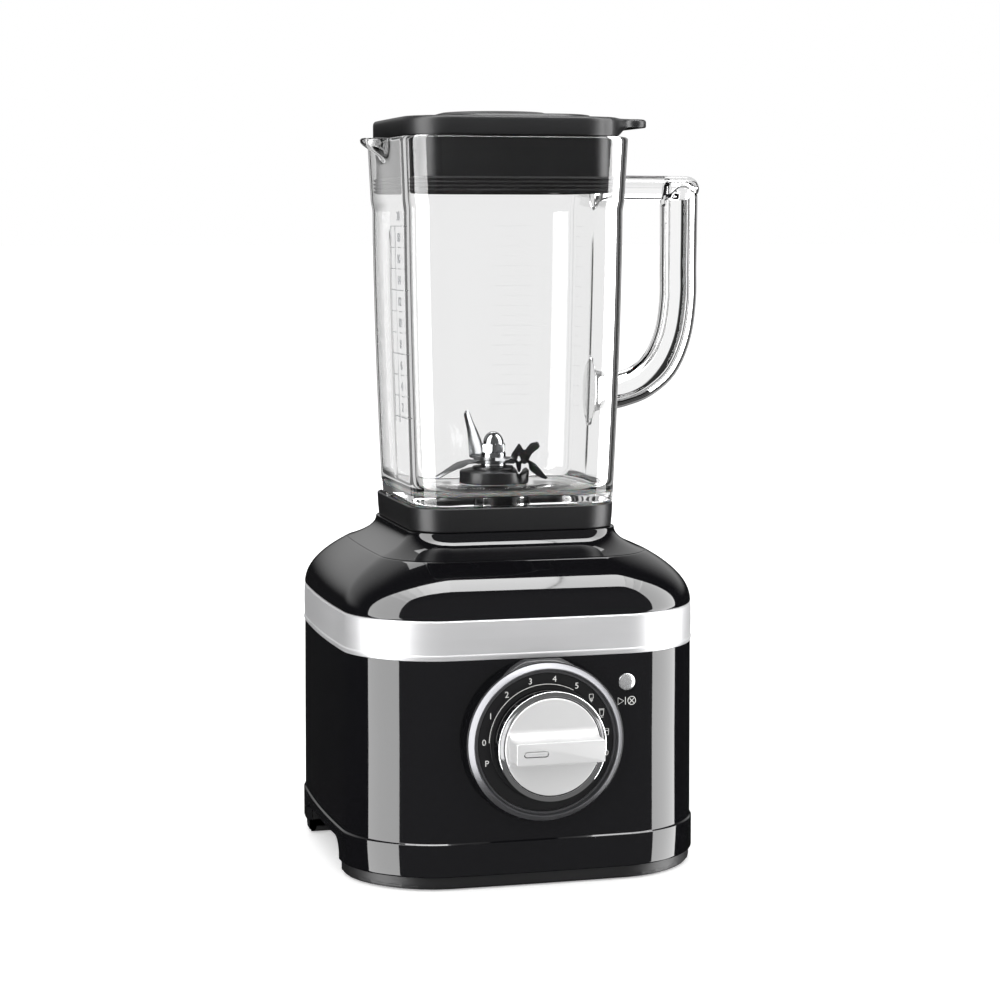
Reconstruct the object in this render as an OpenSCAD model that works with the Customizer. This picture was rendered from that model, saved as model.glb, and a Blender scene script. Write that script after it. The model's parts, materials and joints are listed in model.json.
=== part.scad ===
// Countertop blender with a square glass jar on a motor base.
// +Z is up, the dial faces -Y, and the origin is on the table under the drive axis.

/* [Motor base] */
// Width of the base at the trim band
base_w = 200.7; // [190:0.1:215]
// Depth of the base at the trim band
base_d = 205.3; // [195:0.1:215]
// Corner radius of the base
base_r = 45; // [35:1:50]
// How far the sides bow outwards between the corners
side_bow = 6.1; // [3:0.1:7]
// How far the front and back bow outwards between the corners
front_bow = 2.25; // [1:0.05:4]
// Thickness of the housing's wall
wall = 3; // [2.5:0.1:3.5]
// Top edge of the trim band above the table
band_top = 146; // [140:0.1:150]
// Height of the trim band
band_h = 21.6; // [18:0.1:24]
// Height of the seam between the shoulder and the neck
seam_z = 174.5; // [173:0.1:176]
// Height of the ledge that carries the jar
neck_top = 187.2; // [186.5:0.1:187.3]

/* [Dial] */
// Height of the dial's centre above the table
dial_z = 80.7; // [78:0.1:83]
// How far the dial's boss stands in front of the drive axis
dial_front = 115.2; // [113:0.1:117]
// Outer radius of the dial's bevelled ring
bezel_r = 42.6; // [41:0.1:44]
// Radius of the knob's bright ring
knob_r = 29.6; // [28:0.1:31]
// How far the knob's grip bar stands off the dial face
knob_h = 30; // [26:0.5:32]

/* [Start button] */
// Distance of the button to the right of the drive axis
button_x = 48.3; // [47:0.1:50]
// Height of the button above the table
button_z = 109.1; // [108:0.1:112]
// Radius of the button
button_r = 4.3; // [4:0.1:5]

/* [Jar] */
// Width of the collar under the jar
collar_w = 117.5; // [116:0.1:119]
// Depth of the collar under the jar
collar_d = 121.5; // [120:0.1:123]
// Width of the jar at its foot, above the collar
jar_w_low = 116.1; // [114:0.1:117]
// Width of the jar just below its rim band
jar_w_high = 124.1; // [122:0.1:126]
// Width of the jar at the rim
rim_w = 128.6; // [127:0.1:130]
// Height of the jar's rim above the table
rim_z = 401.8; // [400:0.1:402]
// Thickness of the glass wall
glass = 4.2; // [3.8:0.1:4.6]
// Height of the glass floor inside the jar
floor_z = 205.5; // [205:0.1:206]

/* [Lid] */
// Width and depth of the lid
lid_w = 123; // [121:0.1:124]
// Height of the lid's edge above the table
lid_top = 412.5; // [411:0.1:414]
// Reach of the pull tab from the drive axis
tab_reach = 83.4; // [82:0.1:92]
// Half the width of the pull tab
tab_half = 27; // [15:0.1:30]
// Radius of the ingredient cap
cap_r = 29; // [26:0.5:31]

/* [Drive] */
// Radius of the motor shaft and of the blade shaft
shaft_r = 4; // [3.5:0.1:4]
// Radius of the armature
armature_r = 25.1; // [24:0.1:25.1]
// Radius of the cooling fan
fan_r = 40; // [34:1:41]

/* [Hidden] */
$fn = 48;

corner_steps = 8;
side_steps = 4;
gloss_black = "#101012";
matte_black = "#1b1b1d";
satin_black = "#232325";
steel = "#c9ccd0";
copper = "#b5652d";
rubber = "#2a2a2a";

foot_z = 7.7;
plinth_z = 26;
chamfer_z = 31.5;
band_bottom = band_top - band_h;
neck_bow = 0.85;
neck_r = 21;
neck_t = 0.02;
seam_t = 0.42;
plinth_grow = 3;
notch_front = -50;
notch_back = 45;
notch_top = 20;
notch_r = 9;
pocket_x = 82;
foot_x = 66;
foot_y = 70;
foot_r = 11;
gland_x = 30;
gland_z = 22;
board_posts = [54, 112];
well_r = 25;
well_floor = 178.5;
face_front = dial_front - 3;
ring_h = 14;
disc_r = 26.1;
collar_bottom = 187.4;
collar_top = 200.6;
collar_floor = 190.6;
jar_foot = 194;
jar_x = 1.4;
plug_bottom = 371.4;
lid_bottom = 402.2;
hub_r = 19;
hub_top = 218;
bush_r = 8;
coupler_r = 12.8;
coupler_gap = 0.3;
dog_bottom = 188;
dog_top = 192.2;
blade_t = 1.8;
fit_gap = 0.05;
post_x = 80;
post_y = 20;
bolt_x = 40;
bolt_y = 37;
stack_low = 84;
stack_high = 129;

function mix(a, b, t) = a + (b - a) * t;

// A section is [z, width, depth, corner radius, side bow, front bow, x offset].
function corner_centre(q, w, d, r) =
    [(q == 0 || q == 3 ? 1 : -1) * (w / 2 - r), (q < 2 ? 1 : -1) * (d / 2 - r)];
function arc_point(q, a, w, d, r) = corner_centre(q, w, d, r) + r * [cos(90 * q + a), sin(90 * q + a)];
function rounded_rect(w, d, r) = [
    for (q = [0:3]) each concat(
        [for (i = [0:corner_steps]) arc_point(q, 90 * i / corner_steps, w, d, r)],
        [for (i = [1:side_steps - 1])
            mix(arc_point(q, 90, w, d, r), arc_point((q + 1) % 4, 0, w, d, r), i / side_steps)])
];
function bowed(p, w, d, bx, by) = [
    p.x + sign(p.x) * bx * pow(2 * p.x / w, 2) * (1 - pow(2 * p.y / d, 2)),
    p.y + sign(p.y) * by * pow(2 * p.y / d, 2) * (1 - pow(2 * p.x / w, 2))
];
function outline(w, d, r, bx = 0, by = 0) =
    [for (p = rounded_rect(w - 2 * bx, d - 2 * by, r)) bowed(p, w - 2 * bx, d - 2 * by, bx, by)];
function ring(s) = [for (p = outline(s[1], s[2], s[3], s[4], s[5])) [p.x + s[6], p.y, s[0]]];
function inset(s, t, dz = 0) = [s[0] - dz, s[1] - 2 * t, s[2] - 2 * t, max(s[3] - t, 2), s[4], s[5], s[6]];

module frustum(a, b) {
    n = len(ring(a));
    polyhedron(
        points = concat(ring(a), ring(b)),
        faces = concat(
            [[for (i = [0:n - 1]) i]],
            [[for (i = [0:n - 1]) 2 * n - 1 - i]],
            [for (i = [0:n - 1]) [i, i + n, (i + 1) % n + n, (i + 1) % n]]),
        convexity = 2);
}

module loft(sections) {
    for (i = [0:len(sections) - 2])
        hull() frustum(sections[i], sections[i + 1]);
}

// A flat slab with the outline of section s, from height z0 to z1
module slab(s, z0, z1) {
    translate([s[6], 0, z0])
        linear_extrude(z1 - z0) polygon(outline(s[1], s[2], s[3], s[4], s[5]));
}

// A ring around the Z axis
module tube(r_out, r_in, z0, z1) {
    translate([0, 0, z0]) difference() {
        cylinder(r = r_out, h = z1 - z0);
        translate([0, 0, -1]) cylinder(r = r_in, h = z1 - z0 + 2);
    }
}

// A round bar along the Z axis
module rod(r, z0, z1) {
    translate([0, 0, z0]) cylinder(r = r, h = z1 - z0);
}

// Places a child that points at the viewer, with its own z = 0 at depth y behind the front
module facing(y, x = 0, z = dial_z) {
    translate([x, -y, z]) rotate([90, 0, 0]) children();
}

module mirrored_xy(x, y) {
    for (sx = [-1, 1], sy = [-1, 1])
        translate([sx * x, sy * y, 0]) children();
}

// Shoulder and neck share one family of sections: t = 0 is the neck, t = 1 is the body.
function shoulder(z, t) = [
    z, mix(collar_w, base_w, t), mix(collar_d, base_d, t), mix(neck_r, base_r, t),
    mix(neck_bow, side_bow, t), mix(neck_bow, front_bow, t), 0
];
function shoulder_t(z) = 1 - (1 - seam_t) * pow((z - band_top) / (seam_z - band_top), 2.15);
function neck_cove_t(z) = neck_t + (seam_t - neck_t) * pow((neck_top - z) / (neck_top - seam_z), 2.3);
function body(z, grow = 0) = inset(shoulder(z, 1), -grow / 2);

shoulder_rings = [for (i = [0:7]) let (z = mix(band_top, seam_z, i / 7)) shoulder(z, shoulder_t(z))];
cove_rings = [for (i = [0:6]) let (z = mix(seam_z, neck_top, i / 6)) shoulder(z, neck_cove_t(z))];

// Outline of the grip recess in the skirt, in the y-z plane
notch_outline = concat(
    [[notch_front, -1]],
    [for (a = [180:-15:90]) [notch_front + notch_r, notch_top - notch_r] + notch_r * [cos(a), sin(a)]],
    [for (a = [90:-15:0]) [notch_back - notch_r, notch_top - notch_r] + notch_r * [cos(a), sin(a)]],
    [[notch_back, -1]]
);

module notches(x_in) {
    for (side = [-1, 1])
        translate([side > 0 ? x_in : -x_in - 30, 0, 0])
            rotate([90, 0, 90]) linear_extrude(30) polygon(notch_outline);
}

module base_housing() {
    skirt = [body(foot_z, plinth_grow), body(plinth_z, plinth_grow)];
    outer = concat(skirt, [body(chamfer_z, 1), body(band_bottom)], shoulder_rings);
    inner = concat(
        [for (s = skirt) inset(s, wall, 1)],
        [for (s = shoulder_rings) inset(s, wall, wall)],
        [inset(shoulder(seam_z + 1, seam_t - 0.04), wall)]);
    boss_y = base_d / 2 - 4;
    color(gloss_black) difference() {
        union() {
            difference() {
                union() {
                    loft(outer);
                    facing(boss_y)
                        cylinder(r1 = bezel_r + 4.4, r2 = bezel_r + 1.2, h = dial_front - boss_y - 0.8);
                }
                loft(inner);
            }
            mirrored_xy(45, 88) rod(5, 14, 46);
            for (sx = [-1, 1], sy = [-1, 1])
                translate([sx * 45 - 1.2, sy > 0 ? 91 : -101, 14]) cube([2.4, 10, 32]);
            mirrored_xy(post_x, post_y) rod(6, 149, 168);
            for (sx = [-1, 1], z = board_posts)
                facing(88, sx * 56, z) cylinder(r = 3, h = 12.5);
        }
        difference() {
            slab(body(0, 10), band_bottom - 0.1, band_top + 0.1);
            slab(inset(body(0), 1.5), band_bottom - 1, band_top + 1);
        }
        facing(90) cylinder(r = 34, h = 40);
        facing(95) cylinder(r1 = bezel_r + 1.2, r2 = bezel_r - 2, h = dial_front - 102.6);
        facing(dial_front - 5) cylinder(r = bezel_r + 0.3, h = 10);
        facing(95, button_x, button_z) cylinder(r = button_r + 0.4, h = 15);
        facing(-110, gland_x, gland_z) cylinder(r = 7, h = 25);
        notches(base_w / 2 - 12);
        mirrored_xy(45, 88) rod(1.6, 13, 40);
        mirrored_xy(post_x, post_y) rod(1.6, 148, 162);
        for (sx = [-1, 1], z = board_posts)
            facing(87, sx * 56, z) cylinder(r = 1.3, h = 10);
    }
}

// The neck carries the jar on its ledge; a raised platform centres it around the coupler well.
module neck_cover() {
    platform = [0, 82, 84, 14, 0, 0, 0];
    color(gloss_black) difference() {
        union() {
            difference() {
                loft(cove_rings);
                loft([for (s = cove_rings) inset(s, wall, wall)]);
                loft([for (i = [0, 1]) inset(shoulder(seam_z - 1 + 1.5 * i, seam_t - 0.03 * i), wall)]);
            }
            slab(platform, neck_top - 1, neck_top + 2.9);
            rod(well_r + 2.5, well_floor, neck_top);
        }
        rod(well_r, well_floor + 2.5, 195);
        rod(8.6, well_floor - 1, 195);
    }
}

module trim_band() {
    color("#b9bbbd") difference() {
        slab(body(0, 0.4), band_bottom, band_top);
        slab(inset(body(0), 1.4), band_bottom - 1, band_top + 1);
    }
}

module base_plate() {
    skirt = body(0, plinth_grow);
    pocket_y = notch_front - wall;
    pocket_l = notch_back - notch_front + 2 * wall;
    color(matte_black) difference() {
        union() {
            slab(inset(skirt, 2.6), 1, 2.4);
            slab(inset(skirt, 1.5), 2.4, foot_z);
            slab(inset(skirt, wall + 0.3), foot_z, 13);
            for (sx = [-1, 1])
                translate([sx > 0 ? pocket_x : -96.5, pocket_y, 1]) cube([96.5 - pocket_x, pocket_l, 22]);
        }
        difference() {
            slab(inset(skirt, wall + 2.5), 4.5, 30);
            for (sx = [-1, 1])
                translate([sx > 0 ? pocket_x : -110, pocket_y, 0]) cube([110 - pocket_x, pocket_l, 23]);
        }
        notches(pocket_x + 2.5);
        for (i = [-4:4])
            translate([i * 8 - 1.5, -22, 0]) cube([3, 44, 6]);
        mirrored_xy(45, 88) rod(1.9, 0, 10);
        mirrored_xy(45, 88) rod(4.2, 0, 3);
        mirrored_xy(foot_x, foot_y) rod(foot_r, 0, 3);
        facing(-110, gland_x, gland_z) cylinder(r = 9.5, h = 35);
    }
}

module rubber_feet() {
    color(rubber) mirrored_xy(foot_x, foot_y) rod(foot_r, 0, 3);
}

module base_screws() {
    color(steel) mirrored_xy(45, 88) difference() {
        union() {
            rod(3.6, 1.2, 3);
            rod(1.6, 3, 34);
        }
        rotate(45) translate([-0.5, -2.6, 1]) cube([1, 5.2, 1.1]);
    }
}

module cord_gland() {
    color(matte_black) facing(-106.5, gland_x, gland_z) difference() {
        union() {
            cylinder(r = 6.8, h = 14);
            cylinder(r = 8.8, h = 2.4);
            translate([0, 0, 7]) cylinder(r = 8.8, h = 2.5);
        }
        translate([0, 0, -1]) cylinder(r = 3.6, h = 16);
    }
}

module terminal_block() {
    color("#d9d4c3") difference() {
        translate([-12, 62, 4.5]) cube([26, 14, 12]);
        for (x = [-8, 1, 10])
            translate([x, 69, 10]) rod(2, 0, 10);
    }
}

module noise_filter() {
    color("#c9a227") translate([-48, 58, 4.5]) cube([24, 14, 20]);
}

module dial_bezel() {
    color("#3a3b3d") facing(face_front) rotate_extrude($fn = 96)
        polygon([[37.5, 0], [bezel_r - 0.6, 3], [bezel_r, 2.6], [bezel_r, -1.9], [39, -1.9], [39, 0]]);
}

module dial_face() {
    color(gloss_black) facing(face_front - 2) difference() {
        cylinder(r = 38.8, h = 2);
        translate([0, 0, -1]) cylinder(r = 4.6, h = 4);
    }
}

module speed_switch() {
    color("#3b4a3f") difference() {
        union() {
            translate([-14, -103, dial_z - 14]) cube([28, 15, 28]);
            facing(102) cylinder(r = 4.4, h = 11.5);
        }
        facing(92) cylinder(r = 3 + fit_gap, h = 25);
    }
}

module switch_nut() {
    color(steel) facing(face_front - 4.6) difference() {
        cylinder(r = 8, h = 2.6, $fn = 6);
        translate([0, 0, -1]) cylinder(r = 4.4, h = 5);
    }
}

module control_board() {
    color("#1f5b34") difference() {
        translate([-64, -88, 46]) cube([128, 1.6, 74]);
        for (sx = [-1, 1], z = board_posts)
            facing(85, sx * 56, z) cylinder(r = 1.6, h = 8);
    }
}

module board_components() {
    color("#31343a") {
        for (x = [-34, -20])
            facing(68.4, x, 64) cylinder(r = 6, h = 18);
        translate([-8, -86.4, 56]) cube([18, 14, 15]);
        translate([16, -86.4, 58]) cube([12, 2.4, 12]);
        for (i = [0:4])
            translate([-44 + 12 * i, -86.4, 88]) cube([7, 4, 4]);
    }
}

module heat_sink() {
    color("#9fa3a8") {
        translate([34, -86.4, 56]) cube([22, 3, 36]);
        for (i = [0:4])
            translate([34 + 5 * i, -83.4, 56]) cube([2, 12, 36]);
    }
}

module start_switch() {
    color("#222428") translate([button_x - 6, -91, button_z - 6]) cube([9, 3, 12]);
}

module start_button() {
    stem_y = 92.6;
    flange_y = 95.2;
    front_y = base_d / 2 + 0.4;
    color("#d8dadd") union() {
        facing(stem_y, button_x, button_z) cylinder(r = 2.4, h = flange_y - stem_y);
        facing(flange_y, button_x, button_z) cylinder(r = button_r + 0.8, h = 1.6);
        facing(flange_y + 1.6, button_x, button_z) cylinder(r = button_r, h = front_y - flange_y - 2.4);
        facing(front_y - 0.8, button_x, button_z) cylinder(r1 = button_r, r2 = button_r - 0.8, h = 0.8);
    }
}

module knob_shaft() {
    color(steel) facing(93) cylinder(r = 3, h = 28.5);
}

module knob_skirt() {
    color(gloss_black) facing(face_front) difference() {
        translate([0, 0, 0.6]) cylinder(r = knob_r - 0.4, h = ring_h - 2.3);
        difference() {
            cylinder(r = knob_r - 2.4, h = ring_h - 4);
            translate([0, 0, 2]) cylinder(r = 6, h = ring_h);
        }
        cylinder(r = 3, h = 9.3);
    }
}

module knob_ring() {
    color("#d5d7da") facing(face_front + ring_h - 1.7) rotate_extrude($fn = 96)
        polygon([
            [disc_r + 0.5, 0], [knob_r, 0], [knob_r, 1.2],
            [knob_r - 0.5, 1.7], [disc_r + 1.4, 1.7], [disc_r + 0.5, 0.9]
        ]);
}

module knob_grip() {
    bar_l = 48;
    bar_w = 12;
    color("#b4b6b9") facing(face_front + ring_h - 1.7) difference() {
        union() {
            cylinder(r = disc_r, h = 1.2);
            linear_extrude(knob_h - ring_h + 1.7) polygon(outline(bar_l, bar_w, 3.5));
        }
        translate([-bar_l / 2 + 9, 0, knob_h - ring_h + 0.9])
            linear_extrude(2) polygon(outline(12.4, 1.8, 0.85));
    }
}

module motor_frame() {
    color("#8f9499") difference() {
        union() {
            slab([0, 172, 56, 10, 0, 0, 0], 140, 145);
            slab([0, 96, 90, 10, 0, 0, 0], 140, 145);
            rod(15, 137, 145);
            mirrored_xy(bolt_x, bolt_y) rod(4.6, stack_high, 140);
        }
        rod(11, 138, 146);
        rod(6, 130, 140);
        mirrored_xy(bolt_x, bolt_y) rod(2.5, 120, 150);
        mirrored_xy(post_x, post_y) rod(2.6, 138, 150);
        for (sx = [-1, 1])
            translate([sx * 30 - 8, -15, 139]) cube([16, 30, 8]);
    }
}

module rubber_mounts() {
    color(rubber) mirrored_xy(post_x, post_y) tube(6, 2.6, 145, 149);
}

module mount_screws() {
    color(steel) mirrored_xy(post_x, post_y) difference() {
        union() {
            rod(4, 137.2, 140);
            rod(1.6, 140, 160);
        }
        rod(1.5, 137, 138.4, $fn = 6);
    }
}

module brush_bracket() {
    color("#8f9499") difference() {
        union() {
            slab([0, 92, 86, 10, 0, 0, 0], 50, 54);
            rod(14, 46, 54);
            mirrored_xy(bolt_x, bolt_y) rod(4.6, 54, stack_low);
            for (sx = [-1, 1])
                translate([sx * 29 - 11, -6, 54]) cube([22, 12, 7.5]);
        }
        rod(11, 45, 53);
        rod(6, 50, 60);
        mirrored_xy(bolt_x, bolt_y) rod(2.5, 40, 90);
        for (sy = [-1, 1])
            translate([-20, sy * 28 - 7, 49]) cube([40, 14, 6]);
    }
}

module stator_core() {
    color("#6d7075") difference() {
        slab([0, 92, 86, 8, 0, 0, 0], stack_low, stack_high);
        for (sy = [-1, 1])
            translate([-39, sy > 0 ? 19 : -33, stack_low - 1]) cube([78, 14, stack_high - stack_low + 2]);
        rod(armature_r + 0.7, stack_low - 1, stack_high + 1);
        mirrored_xy(bolt_x, bolt_y) rod(2.5, 80, 135);
    }
}

module field_coils() {
    color(copper) for (sx = [-1, 1])
        translate([sx > 0 ? 27 : -38, 0, (stack_low + stack_high) / 2]) rotate([90, 0, 90]) difference() {
            linear_extrude(11) polygon(outline(65, 64, 9));
            translate([0, 0, -1]) linear_extrude(13) polygon(outline(39, stack_high - stack_low + 1, 1.2));
        }
}

module stator_bolts() {
    color(steel) mirrored_xy(bolt_x, bolt_y) union() {
        rod(2.4, 47, 148);
        rod(4.5, 46, 50, $fn = 6);
        rod(4.5, 145, 148, $fn = 6);
    }
}

module brush_holders() {
    color("#b89b4a") for (sx = [-1, 1])
        translate([sx > 0 ? 17 : -41, -4.6, 61.5]) difference() {
            cube([24, 9.2, 12.4]);
            translate([-1, 1.1, 1.2]) cube([26, 7, 10]);
        }
}

module carbon_brushes() {
    color("#2c2c2e") for (sx = [-1, 1])
        translate([sx > 0 ? 13.3 : -33.3, -3.4, 62.9]) cube([20, 6.8, 9.6]);
}

module bearing(z) {
    tube(11, 8.6, z, z + 7);
    tube(6, shaft_r + fit_gap, z, z + 7);
    tube(8.7, 5.9, z + 1.5, z + 5.5);
}

module upper_bearing() {
    color(steel) bearing(138);
}

module lower_bearing() {
    color(steel) bearing(46);
}

module air_duct() {
    color(satin_black) difference() {
        tube(45, 42.5, 4.5, 45);
        for (a = [0:60:300])
            rotate(a) translate([38, -12, 8]) cube([10, 24, 14]);
    }
}

module shaft_seal() {
    color(rubber) tube(8.5, 7.1, well_floor, well_floor + 2.5);
}

module armature_core() {
    color("#75787d") difference() {
        rod(armature_r, stack_low, stack_high);
        for (a = [0:30:330])
            rotate(a) translate([14, -1.6, stack_low - 1]) cube([15, 3.2, stack_high - stack_low + 2]);
        rod(shaft_r, stack_low - 1, stack_high + 1);
    }
}

module armature_windings() {
    color(copper) difference() {
        union() {
            for (z = [77, stack_high])
                tube(23.4, 9, z, z + 7);
            for (a = [0:30:330])
                rotate(a) translate([14, -1.6, stack_low]) cube([9.4, 3.2, stack_high - stack_low]);
        }
        rod(5, 70, 140);
    }
}

module commutator() {
    color("#b87333") difference() {
        rod(13, 60, 76);
        for (a = [0:15:345])
            rotate(a) translate([11, -0.3, 59]) cube([4, 0.6, 14]);
        rod(shaft_r, 55, 80);
    }
}

module motor_shaft() {
    color(steel) rod(shaft_r, 28, 186);
}

module cooling_fan() {
    color("#3c3f44") difference() {
        union() {
            rod(9, 29, 43);
            rod(fan_r, 41.5, 43);
            for (a = [0:36:324])
                rotate(a) translate([8, -0.8, 29]) cube([fan_r - 9, 1.6, 13]);
        }
        rod(shaft_r, 20, 50);
    }
}

// What is cut away between four driving dogs of 40 degrees each
module dog_gaps(z0, z1, turn) {
    reach = coupler_r + 3;
    rod(6.5, z0, z1);
    for (a = [0:90:270])
        translate([0, 0, z0]) rotate(a + turn + 20) linear_extrude(z1 - z0)
            polygon([[0, 0], [reach, 0], reach * [cos(25), sin(25)] * 1.2, reach * [cos(50), sin(50)]]);
}

module drive_coupler() {
    color("#45474b") difference() {
        union() {
            rod(coupler_r, 183.6, dog_top - coupler_gap);
            rod(7, 176, 183.6);
        }
        dog_gaps(dog_bottom - coupler_gap, dog_top, 0);
        rod(shaft_r, 175, 186);
    }
}

// Stations along the handle's top bar and its grip: [x, z, direction of the path, thickness]
handle_bar = [[60, 375, 0, 22], [68, 375, 0, 15.5], [76, 375, 0, 14], [112, 375, 0, 13.6]];
handle_grip = [
    [109.3, 381.8, -90, 15], [110, 379, -90, 20.4], [110.2, 372, -90, 22], [110, 311, -90, 22],
    [107, 291, -104, 22], [99.5, 274.5, -125, 22], [88, 264.5, -146, 21], [77, 260.5, -166, 21.5],
    [68, 260, -180, 26], [60, 260, -180, 32]
];

// The ring of points that a handle station's section makes
function handle_ring(s, depth) = [
    for (p = outline(depth, s[3], 4.5)) [s[0] - p[1] * sin(s[2]), p[0], s[1] + p[1] * cos(s[2])]
];

module handle_run(path, depth) {
    rings = [for (s = path) handle_ring(s, depth)];
    n = len(rings[0]);
    last = (len(path) - 1) * n;
    polyhedron(
        points = [for (r = rings) for (p = r) p],
        faces = concat(
            [[for (j = [0:n - 1]) j], [for (j = [n - 1:-1:0]) last + j]],
            [for (i = [0:len(path) - 2]) for (j = [0:n - 1]) let (k = (j + 1) % n)
                each [[i * n + j, (i + 1) * n + j, (i + 1) * n + k], [i * n + j, (i + 1) * n + k, i * n + k]]]
        ),
        convexity = 6
    );
}

function jar_width(z) = jar_w_low + (jar_w_high - jar_w_low) * (1 - pow(1 - (z - floor_z) / 156.5, 1.6));
function jar_ring(z, w, r = 22) = [z, w, w + mix(4, 1, (z - floor_z) / 190), r, neck_bow, neck_bow, jar_x];

jar_rings = concat(
    [[jar_foot, 108, 112, 18, neck_bow, neck_bow, jar_x / 2]],
    [[200.4, 111, 115, 19, neck_bow, neck_bow, jar_x / 2]],
    [jar_ring(201.5, jar_w_low - 0.6)],
    [for (z = [206, 240, 280, 320, 361]) jar_ring(z, jar_width(z))],
    [jar_ring(367, jar_w_high + 1.6), jar_ring(396, rim_w), jar_ring(rim_z, rim_w - 0.8)]
);
jar_hollow = concat(
    [jar_ring(floor_z, jar_w_low - 2 * glass - 16, 16)],
    [jar_ring(floor_z + 3, jar_w_low - 2 * glass - 5, 18)],
    [jar_ring(floor_z + 9, jar_width(floor_z + 9) - 2 * glass, 19)],
    [for (z = [250, 300, 361]) jar_ring(z, jar_width(z) - 2 * glass, 18)],
    [jar_ring(367, jar_w_high + 1.6 - 2 * glass, 18), jar_ring(rim_z + 1, rim_w - 2 * glass + 0.4, 18)]
);

module spout(grow) {
    rim_x = jar_x - rim_w / 2;
    hull() {
        translate([rim_x + 2, 0, rim_z - 20]) cylinder(r = 7 + grow, h = 20 + (grow > 0 ? 0 : 1));
        translate([-70, 0, rim_z - 5]) cylinder(r = 4 + grow, h = 5 + (grow > 0 ? 0 : 1), $fn = 32);
    }
}

module jar_glass() {
    color("#cfdfe2") difference() {
        union() {
            loft(jar_rings);
            handle_run(handle_bar, 16.4);
            handle_run(handle_grip, 17);
            spout(3);
        }
        loft(jar_hollow);
        translate([0, 0, 2]) spout(0);
        rod(15.8, 180, 220);
        translate([0, 0, jar_foot - 1]) cylinder(r1 = 37, r2 = 34, h = 6);
    }
}

module jar_collar() {
    top = [0, collar_w, collar_d, neck_r, neck_bow, neck_bow, 0];
    color(matte_black) difference() {
        union() {
            slab(inset(top, -0.9), collar_bottom, 191);
            slab(inset(top, -0.4), 191, 196);
            slab(top, 196, collar_top);
        }
        slab([0, 113, 117, 19, neck_bow, neck_bow, jar_x / 2], 193.4, 210);
        slab([0, 88, 90, 16, 0, 0, 0], 180, collar_floor);
        rod(15.8, 180, 200);
    }
}

module foot_gasket() {
    color("#e4e4e0") difference() {
        slab([0, 107, 111, 18, 0, 0, jar_x / 2], 193.4, jar_foot);
        slab([0, 80, 84, 18, 0, 0, jar_x / 2], 190, 200);
    }
}

module blade_hub() {
    color("#1d1e20") difference() {
        union() {
            rod(15.5, 188.6, 207);
            rod(hub_r, 206.1, 214.5);
            translate([0, 0, 214.5]) cylinder(r1 = hub_r, r2 = hub_r - 3.5, h = 3.5);
        }
        rod(13.6, 185, 197);
        rod(bush_r, 190, 220);
    }
}

module hub_gasket() {
    color("#e4e4e0") tube(hub_r, 15.5, floor_z, 206.1);
}

module hub_nut() {
    color("#85898e") difference() {
        rod(23, 188, collar_floor, $fn = 6);
        rod(15.5, 180, 200);
    }
}

module blade_bushes() {
    color("#a8783c") {
        tube(bush_r, shaft_r + fit_gap, 198, 205);
        tube(bush_r, shaft_r + fit_gap, 207.5, 214.5);
    }
}

module blade_seal() {
    color(rubber) tube(bush_r, shaft_r + 0.1, 214.5, hub_top);
}

module blade_shaft() {
    color(steel) union() {
        rod(shaft_r, 190, 219.6);
        rod(3, 219.6, 233);
        rod(7, 218.3, 219.6);
    }
}

// One arm: a flat strip that bends up or down at the elbow, cut to its plan shape
module arm(az, reach, elbow, rise, w0, w1) {
    lean = atan2(rise, reach - elbow);
    bend = blade_t * tan(lean / 2);
    tip = [reach, rise] + blade_t * [-sin(lean), cos(lean)];
    rotate(az) intersection() {
        rotate([90, 0, 0]) linear_extrude(20, center = true)
            polygon([[0, 0], [elbow, 0], [reach, rise], tip, [elbow - bend, blade_t], [0, blade_t]]);
        translate([0, 0, -40]) linear_extrude(80) polygon([
            [0, -w0 / 2], [elbow, -w0 / 2], [reach + 2, -w1 / 2 + 0.5], [reach + 2, w1 / 2],
            [elbow + 0.6 * (reach - elbow), w0 / 2], [0, w0 / 2]
        ]);
    }
}

module lower_blade() {
    color("#c2c5c9") translate([0, 0, 219.6]) difference() {
        union() {
            rod(7.5, 0, blade_t);
            arm(172, 34.4, 15, -8, 10, 4);
            arm(-10, 31.5, 18, -9.5, 10, 5);
        }
        rod(3, -5, 8);
    }
}

module upper_blade() {
    color("#c2c5c9") translate([0, 0, 219.6 + blade_t]) difference() {
        union() {
            rod(7.5, 0, blade_t);
            arm(135, 17.5, 14.5, 27, 9, 4);
            arm(-50, 28, 17, 11, 10, 5.5);
        }
        rod(3, -5, 8);
    }
}

module blade_washer() {
    color(steel) tube(7, 3, 219.6 + 2 * blade_t, 225.5);
}

module acorn_nut() {
    color(steel) difference() {
        union() {
            rod(7.4, 225.5, 231, $fn = 6);
            translate([0, 0, 231]) rotate_extrude()
                polygon(concat([[0, 0]], [for (a = [0:10:90]) [6 * cos(a), 6.7 * sin(a)]]));
        }
        rod(3, 225, 234);
    }
}

module jar_coupler() {
    color("#2d2e31") difference() {
        rod(coupler_r, dog_bottom, 195.5);
        dog_gaps(dog_bottom - 1, dog_top, 45);
        rod(shaft_r, 189.9, 196);
    }
}

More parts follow.
